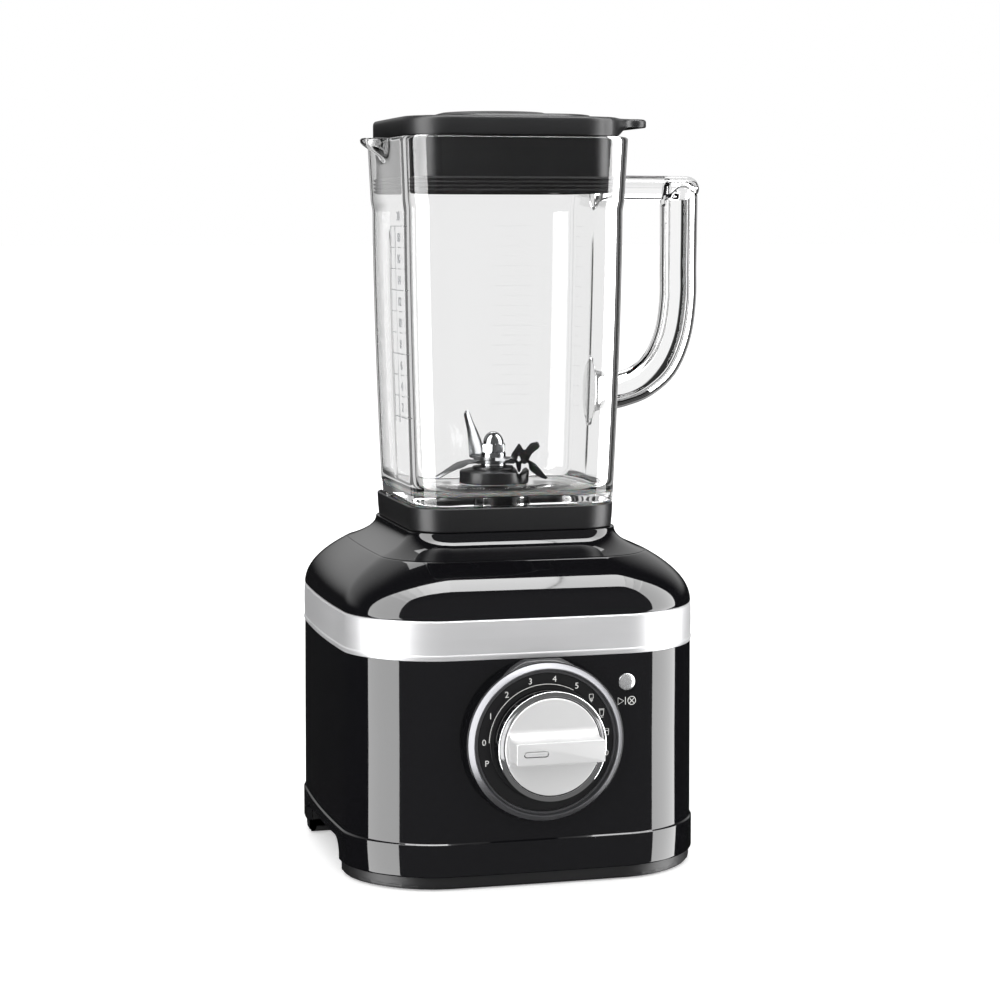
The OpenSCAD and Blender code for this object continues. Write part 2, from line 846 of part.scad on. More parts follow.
module lid() {
    edge = [0, lid_w, lid_w, 25.7, neck_bow, neck_bow, 0.6];
    plug = [0, 113, 114, 16, neck_bow, neck_bow, jar_x];
    color(satin_black) difference() {
        union() {
            slab(inset(edge, 0.6), lid_bottom, lid_bottom + 1);
            slab(edge, lid_bottom + 1, lid_top - 1.5);
            slab(inset(edge, 1.5), lid_top - 1.5, lid_top);
            slab([0, 86, 80, 20, 2, 2, 9], lid_top - 1, lid_top + 3);
            slab(plug, plug_bottom, lid_bottom + 1);
            translate([46, -tab_half, 407.8]) cube([tab_reach - 46 - 8, 2 * tab_half, 4.7]);
            translate([tab_reach - 13, 0, 407.8]) linear_extrude(4.7) polygon(outline(26, 2 * tab_half, 8));
        }
        slab(inset(plug, 2.5), plug_bottom - 1, lid_top - 4);
        rod(cap_r + 0.4, 400, 420);
    }
}

module lid_seal() {
    inner = [0, 113, 114, 16, neck_bow, neck_bow, jar_x];
    color(rubber) difference() {
        union() {
            slab(inset(inner, -1.2), 371.8, 380.2);
            for (z = [372.4, 375.3, 378.2])
                slab(inset(inner, -2.1), z, z + 1.2);
        }
        slab(inner, 370, 382);
    }
}

module ingredient_cap() {
    color(satin_black) difference() {
        union() {
            rod(cap_r, 396, lid_top + 3.1);
            rod(cap_r + 3, lid_top + 3.1, lid_top + 4.4);
            rod(cap_r + 1, lid_top + 4.4, lid_top + 5);
        }
        rod(cap_r - 2.4, 390, lid_top + 1);
    }
}

module cap_seal() {
    color(rubber) tube(cap_r + 0.25, cap_r, 404, 406);
}

base_housing();
neck_cover();
trim_band();
base_plate();
rubber_feet();
base_screws();
cord_gland();
terminal_block();
noise_filter();
dial_bezel();
dial_face();
speed_switch();
switch_nut();
control_board();
board_components();
heat_sink();
start_switch();
start_button();
knob_shaft();
knob_skirt();
knob_ring();
knob_grip();
motor_frame();
rubber_mounts();
mount_screws();
brush_bracket();
stator_core();
field_coils();
stator_bolts();
brush_holders();
carbon_brushes();
upper_bearing();
lower_bearing();
air_duct();
shaft_seal();
armature_core();
armature_windings();
commutator();
motor_shaft();
cooling_fan();
drive_coupler();
jar_glass();
jar_collar();
foot_gasket();
blade_hub();
hub_gasket();
hub_nut();
blade_bushes();
blade_seal();
blade_shaft();
lower_blade();
upper_blade();
blade_washer();
acorn_nut();
jar_coupler();
lid();
lid_seal();
ingredient_cap();
cap_seal();
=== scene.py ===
import json
import math

import bmesh
import bpy
from mathutils import Matrix, Vector


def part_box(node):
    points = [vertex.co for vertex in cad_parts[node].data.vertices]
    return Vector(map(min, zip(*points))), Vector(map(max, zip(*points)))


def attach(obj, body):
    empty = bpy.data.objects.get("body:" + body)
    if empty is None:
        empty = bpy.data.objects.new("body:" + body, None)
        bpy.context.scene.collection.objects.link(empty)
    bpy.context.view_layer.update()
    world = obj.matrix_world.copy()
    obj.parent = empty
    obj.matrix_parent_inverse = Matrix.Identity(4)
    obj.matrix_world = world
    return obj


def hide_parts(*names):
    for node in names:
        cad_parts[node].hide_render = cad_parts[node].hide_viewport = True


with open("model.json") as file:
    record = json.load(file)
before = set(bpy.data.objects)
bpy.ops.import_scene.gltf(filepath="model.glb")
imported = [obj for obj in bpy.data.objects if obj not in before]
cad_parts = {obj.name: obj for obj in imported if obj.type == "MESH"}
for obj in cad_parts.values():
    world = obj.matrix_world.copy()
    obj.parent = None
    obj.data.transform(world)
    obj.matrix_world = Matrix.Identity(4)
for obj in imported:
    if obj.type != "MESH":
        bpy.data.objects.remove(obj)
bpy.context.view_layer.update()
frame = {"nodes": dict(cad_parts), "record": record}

MM = 0.001
BOX = {n: tuple(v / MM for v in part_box(n)) for n in frame["nodes"]}  # every CAD node's corners, in mm


# ---------------------------------------------------------------- small geometry tools, all in millimetres

def mix(a, b, t):
    return a + (b - a) * t


def smooth(t):
    t = min(max(t, 0.0), 1.0)
    return t * t * (3 - 2 * t)


def spread_side(t, power):
    """Spacing along a straight side: power above 1 crowds the points at the middle"""
    u = 2 * t - 1
    return 0.5 + 0.5 * math.copysign(abs(u) ** power, u)


def outline(w, d, r, bow_x=0.0, bow_y=0.0, cx=0.0, corner=16, side=14, power=1.0):
    """Points round a rounded rectangle whose four sides bow outwards"""
    sw, sd = w - 2 * bow_x, d - 2 * bow_y
    centres = [(sw / 2 - r, sd / 2 - r), (r - sw / 2, sd / 2 - r), (r - sw / 2, r - sd / 2), (sw / 2 - r, r - sd / 2)]
    points = []
    for k in range(4):
        (x0, y0), (x1, y1) = centres[k], centres[(k + 1) % 4]
        for i in range(corner):
            a = math.radians(90 * (k + i / corner))
            points.append((x0 + r * math.cos(a), y0 + r * math.sin(a)))
        a = math.radians(90 * (k + 1))
        c, s = r * math.cos(a), r * math.sin(a)
        for i in range(side):
            t = spread_side(i / side, power)
            points.append((mix(x0, x1, t) + c, mix(y0, y1, t) + s))
    return [(
        cx + x + math.copysign(bow_x * (2 * x / sw) ** 2 * (1 - (2 * y / sd) ** 2), x),
        y + math.copysign(bow_y * (2 * y / sd) ** 2 * (1 - (2 * x / sw) ** 2), y),
    ) for x, y in points]


def circle_like(points, r):
    """A circle about the axis with one point for each point of a loop, at the same angle"""
    return [(r * x / math.hypot(x, y), r * y / math.hypot(x, y)) for x, y in points]


def offset_loop(points, grow):
    """The loop moved outwards by grow along its own normals"""
    n = len(points)
    moved = []
    for i in range(n):
        (x0, y0), (x1, y1) = points[i - 1], points[(i + 1) % n]
        dx, dy = x1 - x0, y1 - y0
        s = math.hypot(dx, dy) or 1.0
        moved.append((points[i][0] + grow * dy / s, points[i][1] - grow * dx / s))
    return moved


def rounded(points, steps=5):
    """A polyline of (a, b) or (a, b, radius) with the corners that have a radius rounded"""
    out = [Vector(points[0][:2])]
    for before, at, after in zip(points, points[1:], points[2:]):
        p, r = Vector(at[:2]), at[2] if len(at) > 2 else 0
        if not r:
            out.append(p)
            continue
        u, v = (Vector(before[:2]) - p).normalized(), (Vector(after[:2]) - p).normalized()
        half = u.angle(v) / 2
        reach = min(r / math.tan(half), 0.48 * (Vector(before[:2]) - p).length, 0.48 * (Vector(after[:2]) - p).length)
        centre = p + (u + v).normalized() * reach / math.cos(half)
        a, b = p + u * reach - centre, p + v * reach - centre
        turn = math.pi - 2 * half
        sign = 1 if a.x * b.y - a.y * b.x > 0 else -1
        for i in range(steps + 1):
            out.append(centre + Matrix.Rotation(sign * turn * i / steps, 2) @ a)
    out.append(Vector(points[-1][:2]))
    return [(q.x, q.y) for q in out]


def at_height(loop, z):
    """A loop in the plane as a ring at one height"""
    return [(x, y, z) for x, y in loop]


SHARP = 38.0  # an edge that turns by more than this many degrees is shown sharp
WELD, WELD_CUT = 1e-7, 2e-6  # in metres: how close two points are to be one, in a new mesh and after a boolean


def placed(name, data):
    """A new object, linked into the scene"""
    obj = bpy.data.objects.new(name, data)
    bpy.context.scene.collection.objects.link(obj)
    return obj


def shade(mesh, sharp):
    mesh.polygons.foreach_set("use_smooth", [True] * len(mesh.polygons))
    mesh.set_sharp_from_angle(angle=math.radians(sharp))


def evaluated_mesh(obj):
    bpy.context.view_layer.update()
    return bpy.data.meshes.new_from_object(obj.evaluated_get(bpy.context.evaluated_depsgraph_get()))


def mesh_object(name, verts, faces, sharp=SHARP):
    mesh = bpy.data.meshes.new(name)
    mesh.from_pydata([tuple(c * MM for c in v) for v in verts], [], faces)
    bm = bmesh.new()
    bm.from_mesh(mesh)
    bmesh.ops.remove_doubles(bm, verts=bm.verts, dist=WELD)
    bmesh.ops.recalc_face_normals(bm, faces=bm.faces)
    bm.to_mesh(mesh)
    bm.free()
    shade(mesh, sharp)
    return placed(name, mesh)


def loft(name, rings, closed=False, sharp=SHARP):
    """A skin over rings that all have the same number of points; closed joins the last ring to the first"""
    n, rows = len(rings[0]), len(rings)
    faces = []
    for i in range(rows if closed else rows - 1):
        j = (i + 1) % rows
        faces += [(i * n + k, i * n + (k + 1) % n, j * n + (k + 1) % n, j * n + k) for k in range(n)]
    if not closed:
        faces += [tuple(reversed(range(n))), tuple((rows - 1) * n + k for k in range(n))]
    return mesh_object(name, [p for ring in rings for p in ring], faces, sharp)


def slab(name, loop, profile, closed=False, sharp=SHARP):
    """A piece whose plan is one loop: profile gives (how far it grows, height)"""
    return loft(name, [at_height(offset_loop(loop, g), z) for g, z in profile], closed, sharp)


def lathe(name, profile, centre=(0.0, 0.0), axis="Z", closed=False, segments=128):
    """A turned piece: profile gives (radius, place along the axis); axis Y is looked at from the front"""
    rings = []
    for r, h in profile:
        ring = []
        for i in range(segments):
            a = 2 * math.pi * i / segments
            u, v = centre[0] + max(r, 0.001) * math.cos(a), centre[1] + max(r, 0.001) * math.sin(a)
            ring.append((u, v, h) if axis == "Z" else (u, h, v))
        rings.append(ring)
    return loft(name, rings, closed)


def joined(name, *objects):
    """One object from several, whose meshes keep their places"""
    bm = bmesh.new()
    for o in objects:
        bm.from_mesh(o.data)
        bpy.data.objects.remove(o)
    mesh = bpy.data.meshes.new(name)
    bm.to_mesh(mesh)
    bm.free()
    return placed(name, mesh)


def combine(obj, tool, operation, sharp=SHARP):
    """An exact boolean, applied"""
    modifier = obj.modifiers.new("b", "BOOLEAN")
    modifier.operation, modifier.object, modifier.solver = operation, tool, "EXACT"
    mesh = evaluated_mesh(obj)
    obj.modifiers.clear()
    obj.data = mesh
    bpy.data.objects.remove(tool)
    bm = bmesh.new()
    bm.from_mesh(mesh)
    bmesh.ops.remove_doubles(bm, verts=bm.verts, dist=WELD_CUT)
    bmesh.ops.dissolve_degenerate(bm, edges=bm.edges, dist=WELD_CUT)
    bm.to_mesh(mesh)
    bm.free()
    shade(mesh, sharp)
    return obj


def ribbon(points, width, closed=False):
    """A flat stroke in the (u, v) plane along points, as vertices and quads"""
    n = len(points)
    verts, faces = [], []
    for i in range(n):
        a = points[i - 1] if closed or i else points[i]
        b = points[(i + 1) % n] if closed or i < n - 1 else points[i]
        dx, dy = b[0] - a[0], b[1] - a[1]
        s = math.hypot(dx, dy) or 1.0
        nx, ny = -dy / s * width / 2, dx / s * width / 2
        p = points[i]
        verts += [(p[0] + nx, p[1] + ny), (p[0] - nx, p[1] - ny)]
    for i in range(n if closed else n - 1):
        j = (i + 1) % n
        faces.append((2 * i, 2 * i + 1, 2 * j + 1, 2 * j))
    return verts, faces


def raised(flat, place, thick):
    """Flat strokes given a thickness: place maps (u, v, height) to a point"""
    verts, faces = [], []
    for vs, fs in flat:
        base, n = len(verts), len(vs)
        verts += [place(u, v, 0) for u, v in vs] + [place(u, v, thick) for u, v in vs]
        edges = {}
        for f in fs:
            faces.append(tuple(base + n + i for i in f))
            faces.append(tuple(base + i for i in reversed(f)))
            for a, b in zip(f, f[1:] + f[:1]):
                edges[(a, b)] = True
        faces += [(base + a, base + b, base + n + b, base + n + a) for a, b in edges if (b, a) not in edges]
    return verts, faces


def digits(text, size, centre):
    """A number as flat faces in the (u, v) plane, about centre"""
    curve = bpy.data.curves.new("number", "FONT")
    curve.body, curve.size = text, size
    curve.align_x, curve.align_y = "CENTER", "CENTER"
    curve.resolution_u = 3
    obj = placed("number", curve)
    mesh = evaluated_mesh(obj)
    verts = [(v.co.x + centre[0], v.co.y + centre[1]) for v in mesh.vertices]
    faces = [tuple(p.vertices) for p in mesh.polygons]
    bpy.data.objects.remove(obj)
    bpy.data.curves.remove(curve)
    bpy.data.meshes.remove(mesh)
    return verts, faces


def arc(centre, r, a0, a1, steps):
    """Points on an arc between two angles in degrees"""
    return [(
        centre[0] + r * math.cos(math.radians(mix(a0, a1, i / steps))),
        centre[1] + r * math.sin(math.radians(mix(a0, a1, i / steps))),
    ) for i in range(steps + 1)]


# ---------------------------------------------------------------- materials

def node(tree, kind, **values):
    """A shader node; values are its settings, or its sockets with _ for a space"""
    n = tree.nodes.new("ShaderNode" + kind)
    for key, value in values.items():
        if hasattr(n, key):
            setattr(n, key, value)
        else:
            n.inputs[key.replace("_", " ")].default_value = value
    return n


def principled(name, **sockets):
    """A material, its node tree and its shader, whose sockets are set by name"""
    m = bpy.data.materials.new(name)
    m.use_nodes = True
    shader = m.node_tree.nodes["Principled BSDF"]
    for key, value in sockets.items():
        shader.inputs[key.replace("_", " ")].default_value = value
    return m, m.node_tree, shader


FINISH = {}


def add_finish(name, colour, rough, metallic=0.0, grain=2200, bump=20, spread=0.05, tint=0.06, stretch=(1, 1, 1),
               **sockets):
    """A procedural finish: a broad drift of colour, and a fine grain that drives roughness and bump (micrometres)"""
    FINISH[name], t, shader = principled(name, Metallic=metallic, **sockets)
    coords = node(t, "TexCoord")
    mapping = node(t, "Mapping", Scale=stretch)
    t.links.new(coords.outputs["Object"], mapping.inputs["Vector"])
    fine = node(t, "TexNoise", Scale=grain, Detail=4.0, Roughness=0.6)
    wide = node(t, "TexNoise", Scale=22.0, Detail=2.0, Roughness=0.5)
    t.links.new(mapping.outputs["Vector"], fine.inputs["Vector"])
    t.links.new(coords.outputs["Object"], wide.inputs["Vector"])
    drift = node(t, "Mix", data_type="RGBA")
    drift.inputs[6].default_value = (*[c * (1 - tint) for c in colour], 1)
    drift.inputs[7].default_value = (*[min(1, c * (1 + tint)) for c in colour], 1)
    t.links.new(wide.outputs["Fac"], drift.inputs["Factor"])
    t.links.new(drift.outputs[2], shader.inputs["Base Color"])
    both = node(t, "Math", operation="MULTIPLY_ADD")
    both.inputs[1].default_value = 0.6
    t.links.new(fine.outputs["Fac"], both.inputs[0])
    t.links.new(wide.outputs["Fac"], both.inputs[2])
    band = node(t, "MapRange", From_Min=0.4, From_Max=1.2, To_Min=max(rough - spread, 0.01), To_Max=rough + spread)
    t.links.new(both.outputs[0], band.inputs["Value"])
    t.links.new(band.outputs[0], shader.inputs["Roughness"])
    relief = node(t, "Bump", Strength=0.6, Distance=bump * 1e-6)
    t.links.new(fine.outputs["Fac"], relief.inputs["Height"])
    t.links.new(relief.outputs[0], shader.inputs["Normal"])


add_finish("gloss_black", (0.005, 0.005, 0.006), 0.045, grain=260, bump=4, spread=0.02, IOR=1.5, Coat_Weight=0.35,
           Coat_Roughness=0.03)
add_finish("satin_band", (0.75, 0.75, 0.76), 0.40, 0.6, grain=4200, bump=6, spread=0.04, tint=0.02)
add_finish("matte_black", (0.012, 0.012, 0.013), 0.42, grain=3600, bump=30, spread=0.06)
add_finish("satin_black", (0.012, 0.012, 0.013), 0.36, grain=3200, bump=22, spread=0.06)
add_finish("black_rubber", (0.016, 0.016, 0.017), 0.62, grain=1500, bump=80, spread=0.1)
add_finish("pale_gasket", (0.66, 0.66, 0.64), 0.42, grain=1200, bump=30, spread=0.08, Subsurface_Weight=0.25,
           Subsurface_Scale=0.002)
add_finish("dark_chrome", (0.42, 0.42, 0.43), 0.10, 1.0, grain=900, bump=4, spread=0.03)
add_finish("chrome", (0.86, 0.86, 0.87), 0.06, 1.0, grain=700, bump=6, spread=0.03, tint=0.02)
add_finish("brushed_aluminium", (0.70, 0.70, 0.70), 0.48, 0.45, grain=1500, bump=10, spread=0.06,
           stretch=(0.05, 1, 1.6), tint=0.03, Anisotropic=0.4)
add_finish("satin_chrome", (0.80, 0.80, 0.81), 0.26, 0.75, grain=420, bump=120, spread=0.06)
add_finish("smoked_chrome", (0.20, 0.20, 0.21), 0.36, 0.8, grain=900, bump=10, spread=0.05)
add_finish("etched_glass", (0.62, 0.63, 0.64), 0.4, grain=900, bump=30, Transmission_Weight=0.35)
add_finish("cast_aluminium", (0.52, 0.53, 0.54), 0.48, 1.0, grain=620, bump=120, spread=0.12, tint=0.12)
add_finish("steel", (0.62, 0.63, 0.64), 0.22, 1.0, grain=1300, bump=20, spread=0.07, stretch=(1, 1, 0.2))
add_finish("blade_steel", (0.26, 0.265, 0.27), 0.36, 1.0, grain=2000, bump=10, spread=0.06, stretch=(0.15, 1, 1))
add_finish("hub_black", (0.014, 0.014, 0.015), 0.28, grain=1600, bump=20, spread=0.06)
add_finish("lamination", (0.22, 0.22, 0.23), 0.5, 0.8, grain=60, bump=200, spread=0.1, stretch=(0.05, 0.05, 34))
add_finish("copper", (0.72, 0.32, 0.16), 0.3, 1.0, grain=150, bump=300, spread=0.08, stretch=(1, 1, 9), tint=0.16)
add_finish("brass", (0.66, 0.5, 0.22), 0.28, 1.0, grain=900, bump=30, spread=0.08, tint=0.1)
add_finish("bronze", (0.5, 0.33, 0.17), 0.38, 1.0, grain=1100, bump=60, spread=0.1, tint=0.12)
add_finish("carbon", (0.03, 0.03, 0.032), 0.55, 0.2, grain=1800, bump=60, spread=0.1)
add_finish("coupler_black", (0.03, 0.03, 0.032), 0.46, grain=1100, bump=60, spread=0.1, tint=0.15)
add_finish("fan_plastic", (0.05, 0.052, 0.055), 0.44, grain=1400, bump=30, spread=0.08)
add_finish("board_green", (0.02, 0.12, 0.05), 0.4, grain=300, bump=60, spread=0.1, tint=0.3)
add_finish("component_black", (0.02, 0.02, 0.021), 0.5, grain=2100, bump=40)
add_finish("cream_plastic", (0.78, 0.78, 0.76), 0.45, grain=1800, bump=20, tint=0.04)
add_finish("yellow_plastic", (0.68, 0.5, 0.08), 0.42, grain=1600, bump=30)
FINISH["clear_glass"] = principled(
    "clear_glass", Base_Color=(0.985, 0.985, 0.985, 1), Roughness=0.0, Transmission_Weight=1.0, IOR=1.5)[0]

for part in frame["record"]["subparts"]:
    cad = frame["nodes"][part["node"]]
    cad.data.materials.clear()
    cad.data.materials.append(FINISH[part["material_slot"]])


def dress(obj, slot, body, *stands_for, finish=None):
    """Finish, body and CAD nodes of one piece"""
    obj.data.materials.clear()
    obj.data.materials.append(FINISH[finish or slot])
    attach(obj, body)
    if stands_for:
        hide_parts(*stands_for)


# ---------------------------------------------------------------- the motor base

skirt = BOX["base_housing"]
SKIRT_OUT = 1.5  # how far the skirt stands out from the body
BODY_W = skirt[1].x - skirt[0].x - 2 * SKIRT_OUT
BODY_D = 2 * (skirt[1].y - SKIRT_OUT)
BODY_R, BOW_X, BOW_Y = 45.0, 6.1, 2.25
NECK_W, NECK_D, NECK_R, NECK_BOW = 117.5, 121.5, 21.0, 0.85
SKIRT_LOW, BAND_LOW, BAND_TOP = skirt[0].z, BOX["trim_band"][0].z, BOX["trim_band"][1].z
SEAM_Z, NECK_TOP = 174.5, BOX["jar_collar"][0].z - 0.2

body_loop = outline(BODY_W, BODY_D, BODY_R, BOW_X, BOW_Y, corner=28, side=28)


def boxed(name, x0, x1, y0, y1, z0, z1):
    return loft(name, [[(x0, y0, z), (x1, y0, z), (x1, y1, z), (x0, y1, z)] for z in (z0, z1)])


def grip_cutter(side):
    """The hand recess at the foot of one side: flat roof, round upper corners"""
    front, back, low, top, r, deep, beyond = -50.0, 45.0, -4.0, 20.0, 9.0, 84.0, 130.0
    path = [(front, low)]
    path += [(front + r + r * math.cos(a), top - r + r * math.sin(a))
             for a in (math.pi * (1 - i / 16) for i in range(9))]
    path += [(back - r + r * math.cos(a), top - r + r * math.sin(a))
             for a in (math.pi / 2 * (1 - i / 8) for i in range(9))]
    path += [(back, low)]
    return loft("cutter", [[(x, y, z) for y, z in path] for x in sorted((side * deep, side * beyond))])


shell = slab("body_shell", body_loop, rounded([
    (-2.5, BAND_LOW - 0.4), (-2.5, 60.0), (-2.5, 34.0, 1.0), (-1.5, SKIRT_LOW, 0.3), (SKIRT_OUT, SKIRT_LOW, 1.1),
    (SKIRT_OUT, 25.4, 0.5), (0.5, 26.2, 0.4), (0.25, 80.0), (0.0, BAND_LOW + 0.6, 0.2), (-2.5, BAND_LOW + 0.6)],
    ), closed=True)
for side in (-1, 1):
    combine(shell, grip_cutter(side), "DIFFERENCE")
BUTTON = (BOX["start_button"][0] + BOX["start_button"][1]) / 2
combine(shell, lathe("cutter", [(5.9, -106.0), (5.9, -101.6)], (BUTTON.x, BUTTON.z), "Y", segments=48), "DIFFERENCE")
dress(shell, "gloss_black", "base", "base_housing")

DIAL = (0.0, (BOX["dial_bezel"][0].z + BOX["dial_bezel"][1].z) / 2)
RIM_Y = BOX["dial_bezel"][0].y
FACE_Y = BOX["dial_face"][0].y
BEZEL_R = (BOX["dial_bezel"][1].x - BOX["dial_bezel"][0].x) / 2
boss = lathe("dial_boss", rounded([
    (44.9, -100.9), (44.7, -103.6, 3.0), (BEZEL_R + 0.6, RIM_Y + 3.1, 0.4), (BEZEL_R + 0.1, RIM_Y + 3.0, 0.2),
    (BEZEL_R + 0.1, RIM_Y + 5.0), (BEZEL_R - 1.5, -100.9)]), DIAL, "Y", closed=True, segments=160)
combine(boss, boxed("cutter", -60.0, 60.0, -130.0, -90.0, BAND_LOW - 0.1, BAND_LOW + 20.0), "DIFFERENCE")
dress(boss, "gloss_black", "base")

band = slab("trim_band_satin", body_loop, rounded([
    (-1.3, BAND_LOW + 0.4), (-0.9, BAND_LOW, 0.3), (0.05, BAND_LOW + 0.1, 0.6), (0.75, BAND_LOW + 2.6, 1.2),
    (0.2, BAND_LOW + 3.4, 0.5), (0.35, 136.0, 12.0), (0.2, BAND_TOP - 0.7, 0.4), (-0.5, BAND_TOP, 0.4),
    (-1.3, BAND_TOP)]), closed=True)
dress(band, "satin_band", "base", "trim_band")


def shoulder(t):
    """The loop of the cover, from the neck at 0 to the body at 1"""
    return outline(mix(NECK_W, BODY_W, t), mix(NECK_D, BODY_D, t), mix(NECK_R, BODY_R, t), mix(NECK_BOW, BOW_X, t),
                   mix(NECK_BOW, BOW_Y, t), corner=28, side=28)


SEAM_T, NECK_T = 0.42, 0.02  # where the cover's seam and its upper edge lie between neck and body
rings = [at_height(offset_loop(shoulder(1.0), g), BAND_TOP + z) for g, z in ((-2.0, 0.3), (-0.5, 0.05))]
for i in range(1, 41):
    z = mix(BAND_TOP, SEAM_Z, (i / 40) ** 0.9)
    rings.append(at_height(shoulder(1 - 0.58 * ((z - BAND_TOP) / (SEAM_Z - BAND_TOP)) ** 2.15), z))
rings[-1] = at_height(offset_loop(shoulder(SEAM_T), 0.15), SEAM_Z - 0.15)
rings.append(at_height(offset_loop(shoulder(SEAM_T), -0.35), SEAM_Z - 0.25))
for i in range(25):
    z = mix(SEAM_Z, NECK_TOP - 0.5, (i / 24) ** 1.25)
    rings.append(at_height(shoulder(NECK_T + 0.40 * ((NECK_TOP - z) / (NECK_TOP - SEAM_Z)) ** 2.3), z))
platform_z = BOX["neck_cover"][1].z
seat = outline(82, 84, 14, corner=28, side=28)
rings += [at_height(offset_loop(shoulder(NECK_T), g), z) for g, z in ((-0.15, NECK_TOP - 0.15), (-0.6, NECK_TOP))]
rings += [at_height(offset_loop(seat, g), z) for g, z in
          ((1.0, NECK_TOP), (0.2, NECK_TOP + 0.3), (0.0, NECK_TOP + 1.0), (0.0, platform_z - 0.5),
           (-0.15, platform_z - 0.15), (-0.6, platform_z))]
WELL_R, WELL_Z, BORE_R = 25.0, 178.5, 7.0  # the round well that the coupler turns in, and the shaft's hole
rings += [at_height(circle_like(seat, r), z) for r, z in
          ((WELL_R + 0.6, platform_z), (WELL_R + 0.1, platform_z - 0.2), (WELL_R, platform_z - 0.8),
           (WELL_R, WELL_Z + 1.1), (WELL_R - 0.4, WELL_Z + 0.3), (WELL_R - 1.2, WELL_Z), (BORE_R + 1.0, WELL_Z),
           (BORE_R + 0.2, WELL_Z - 0.1), (BORE_R, WELL_Z - 2.5))]
dress(loft("neck_cover_gloss", rings), "gloss_black", "base", "neck_cover")

# the plate under the body
plate_low = BOX["base_plate"][0].z
plate = slab("foot_plate", offset_loop(body_loop, SKIRT_OUT), rounded([
    (-30.0, plate_low + 3.0), (-6.0, plate_low + 3.0, 0.5), (-4.6, plate_low, 0.6), (-2.6, plate_low, 0.8),
    (-2.4, 2.6, 0.6), (-1.5, 3.2, 0.5), (-1.5, SKIRT_LOW + 0.4), (-30.0, SKIRT_LOW + 0.4)]), closed=True)
for side in (-1, 1):
    combine(plate, grip_cutter(side), "DIFFERENCE")
dress(plate, "matte_black", "base")

# ---------------------------------------------------------------- the dial

dress(lathe("dial_bezel_ring", rounded([
    (BEZEL_R, RIM_Y + 4.6), (BEZEL_R, RIM_Y + 2.9, 0.3), (40.0, RIM_Y + 0.2, 0.5), (39.3, RIM_Y, 0.3),
    (39.0, RIM_Y + 0.8, 0.2), (38.5, RIM_Y + 2.4, 0.2), (37.6, RIM_Y + 2.2, 0.2), (37.3, FACE_Y - 0.02),
    (37.3, RIM_Y + 4.6)], 3), DIAL, "Y", closed=True, segments=160),
    "dark_chrome", "base", "dial_bezel", finish="smoked_chrome")
SHAFT_HOLE = 6.5
dress(lathe("dial_face_plate", rounded([
    (SHAFT_HOLE, FACE_Y + 1.5), (SHAFT_HOLE, FACE_Y, 0.3), (30.4, FACE_Y, 0.3), (30.7, FACE_Y + 0.35, 0.2),
    (31.0, FACE_Y, 0.3), (37.25, FACE_Y, 0.2), (37.25, FACE_Y + 1.5)], 3), DIAL, "Y", closed=True),
    "matte_black", "base", "dial_face", finish="satin_black")


def on_dial(u, v, h):
    """A place on the dial's face, h proud of it"""
    return DIAL[0] + u, FACE_Y - 0.01 - h, DIAL[1] + v


def polar(r, clock):
    """A place on the dial: clock is the angle clockwise from the left-hand horizontal"""
    a = math.radians(180 - clock)
    return r * math.cos(a), r * math.sin(a)


STROKE, MARK_R, MARK_H = 0.34, 34.0, 4.7
marks = [digits(text, MARK_H, polar(MARK_R, clock)) for text, clock in
         (("P", -17.4), ("0", 2.0), ("1", 26.6), ("2", 50.7), ("3", 75.3), ("4", 98.0), ("5", 120.0))]
marks.append(ribbon(arc((0, 0), 31.2, 180 - 2.0, 180 - 119.0, 64), STROKE))

# four programme signs: their strokes about their own centres
for clock, strokes in (
        (137.5, [([(-1.1, 1.6), (-1.1, -0.6), (1.1, -0.6), (1.1, 1.6)], STROKE, True),
                 *[(arc(at, 0.3, 0, 330, 8), 0.3, False) for at in ((-0.5, -1.4), (0.5, -1.5), (0.1, -2.2))]]),
        (155.2, [([(-1.2, 1.5), (-0.9, -1.5), (0.9, -1.5), (1.2, 1.5)], STROKE, True),
                 ([(-1.5, 2.0), (1.5, 2.0)], STROKE, False), ([(0, -1.5), (0, -2.4)], STROKE, False),
                 ([(-0.9, -2.4), (0.9, -2.4)], STROKE, False)]),
        (173.5, [([(-1.0, 1.7), (-1.0, -1.7), (1.0, -1.7), (1.0, 1.7)], STROKE, True),
                 ([(-1.0, 0.6), (1.0, 0.6)], STROKE, False)]),
        (192.0, [(arc((0, -0.4), 1.4, 20, 160, 10) + arc((0, -0.4), 1.4, 200, 340, 10), STROKE, True),
                 ([(0, 1.0), (0.5, 2.0)], STROKE, False)])):
    at_u, at_v = polar(MARK_R, clock)
    marks += [ribbon([(u + at_u, v + at_v) for u, v in points], width, closed) for points, width, closed in strokes]
dress(mesh_object("dial_marks", *raised(marks, on_dial, 0.05)), "cream_plastic", "base")


def on_front(u, v, h):
    """The front wall bows, so a mark on it follows the bow"""
    sw, sd = BODY_W - 2 * BOW_X, BODY_D - 2 * BOW_Y
    x = BUTTON.x + u
    return x, -(sd / 2 + BOW_Y * (1 - (2 * x / sw) ** 2)) - 0.22 - h, BUTTON.z - 10.3 + v


icon = [
    ribbon([(-5.2, 1.9), (-5.2, -1.9), (-1.9, 0)], STROKE, True),
    ribbon([(-1.0, 2.1), (-1.0, -2.1)], STROKE),
    ribbon(arc((2.6, 0), 2.2, 0, 345, 30), STROKE, True),
    ribbon([(1.4, 1.2), (3.8, -1.2)], STROKE),
    ribbon([(1.4, -1.2), (3.8, 1.2)], STROKE),
]
dress(mesh_object("button_icon", *raised(icon, on_front, 0.06)), "cream_plastic", "base")

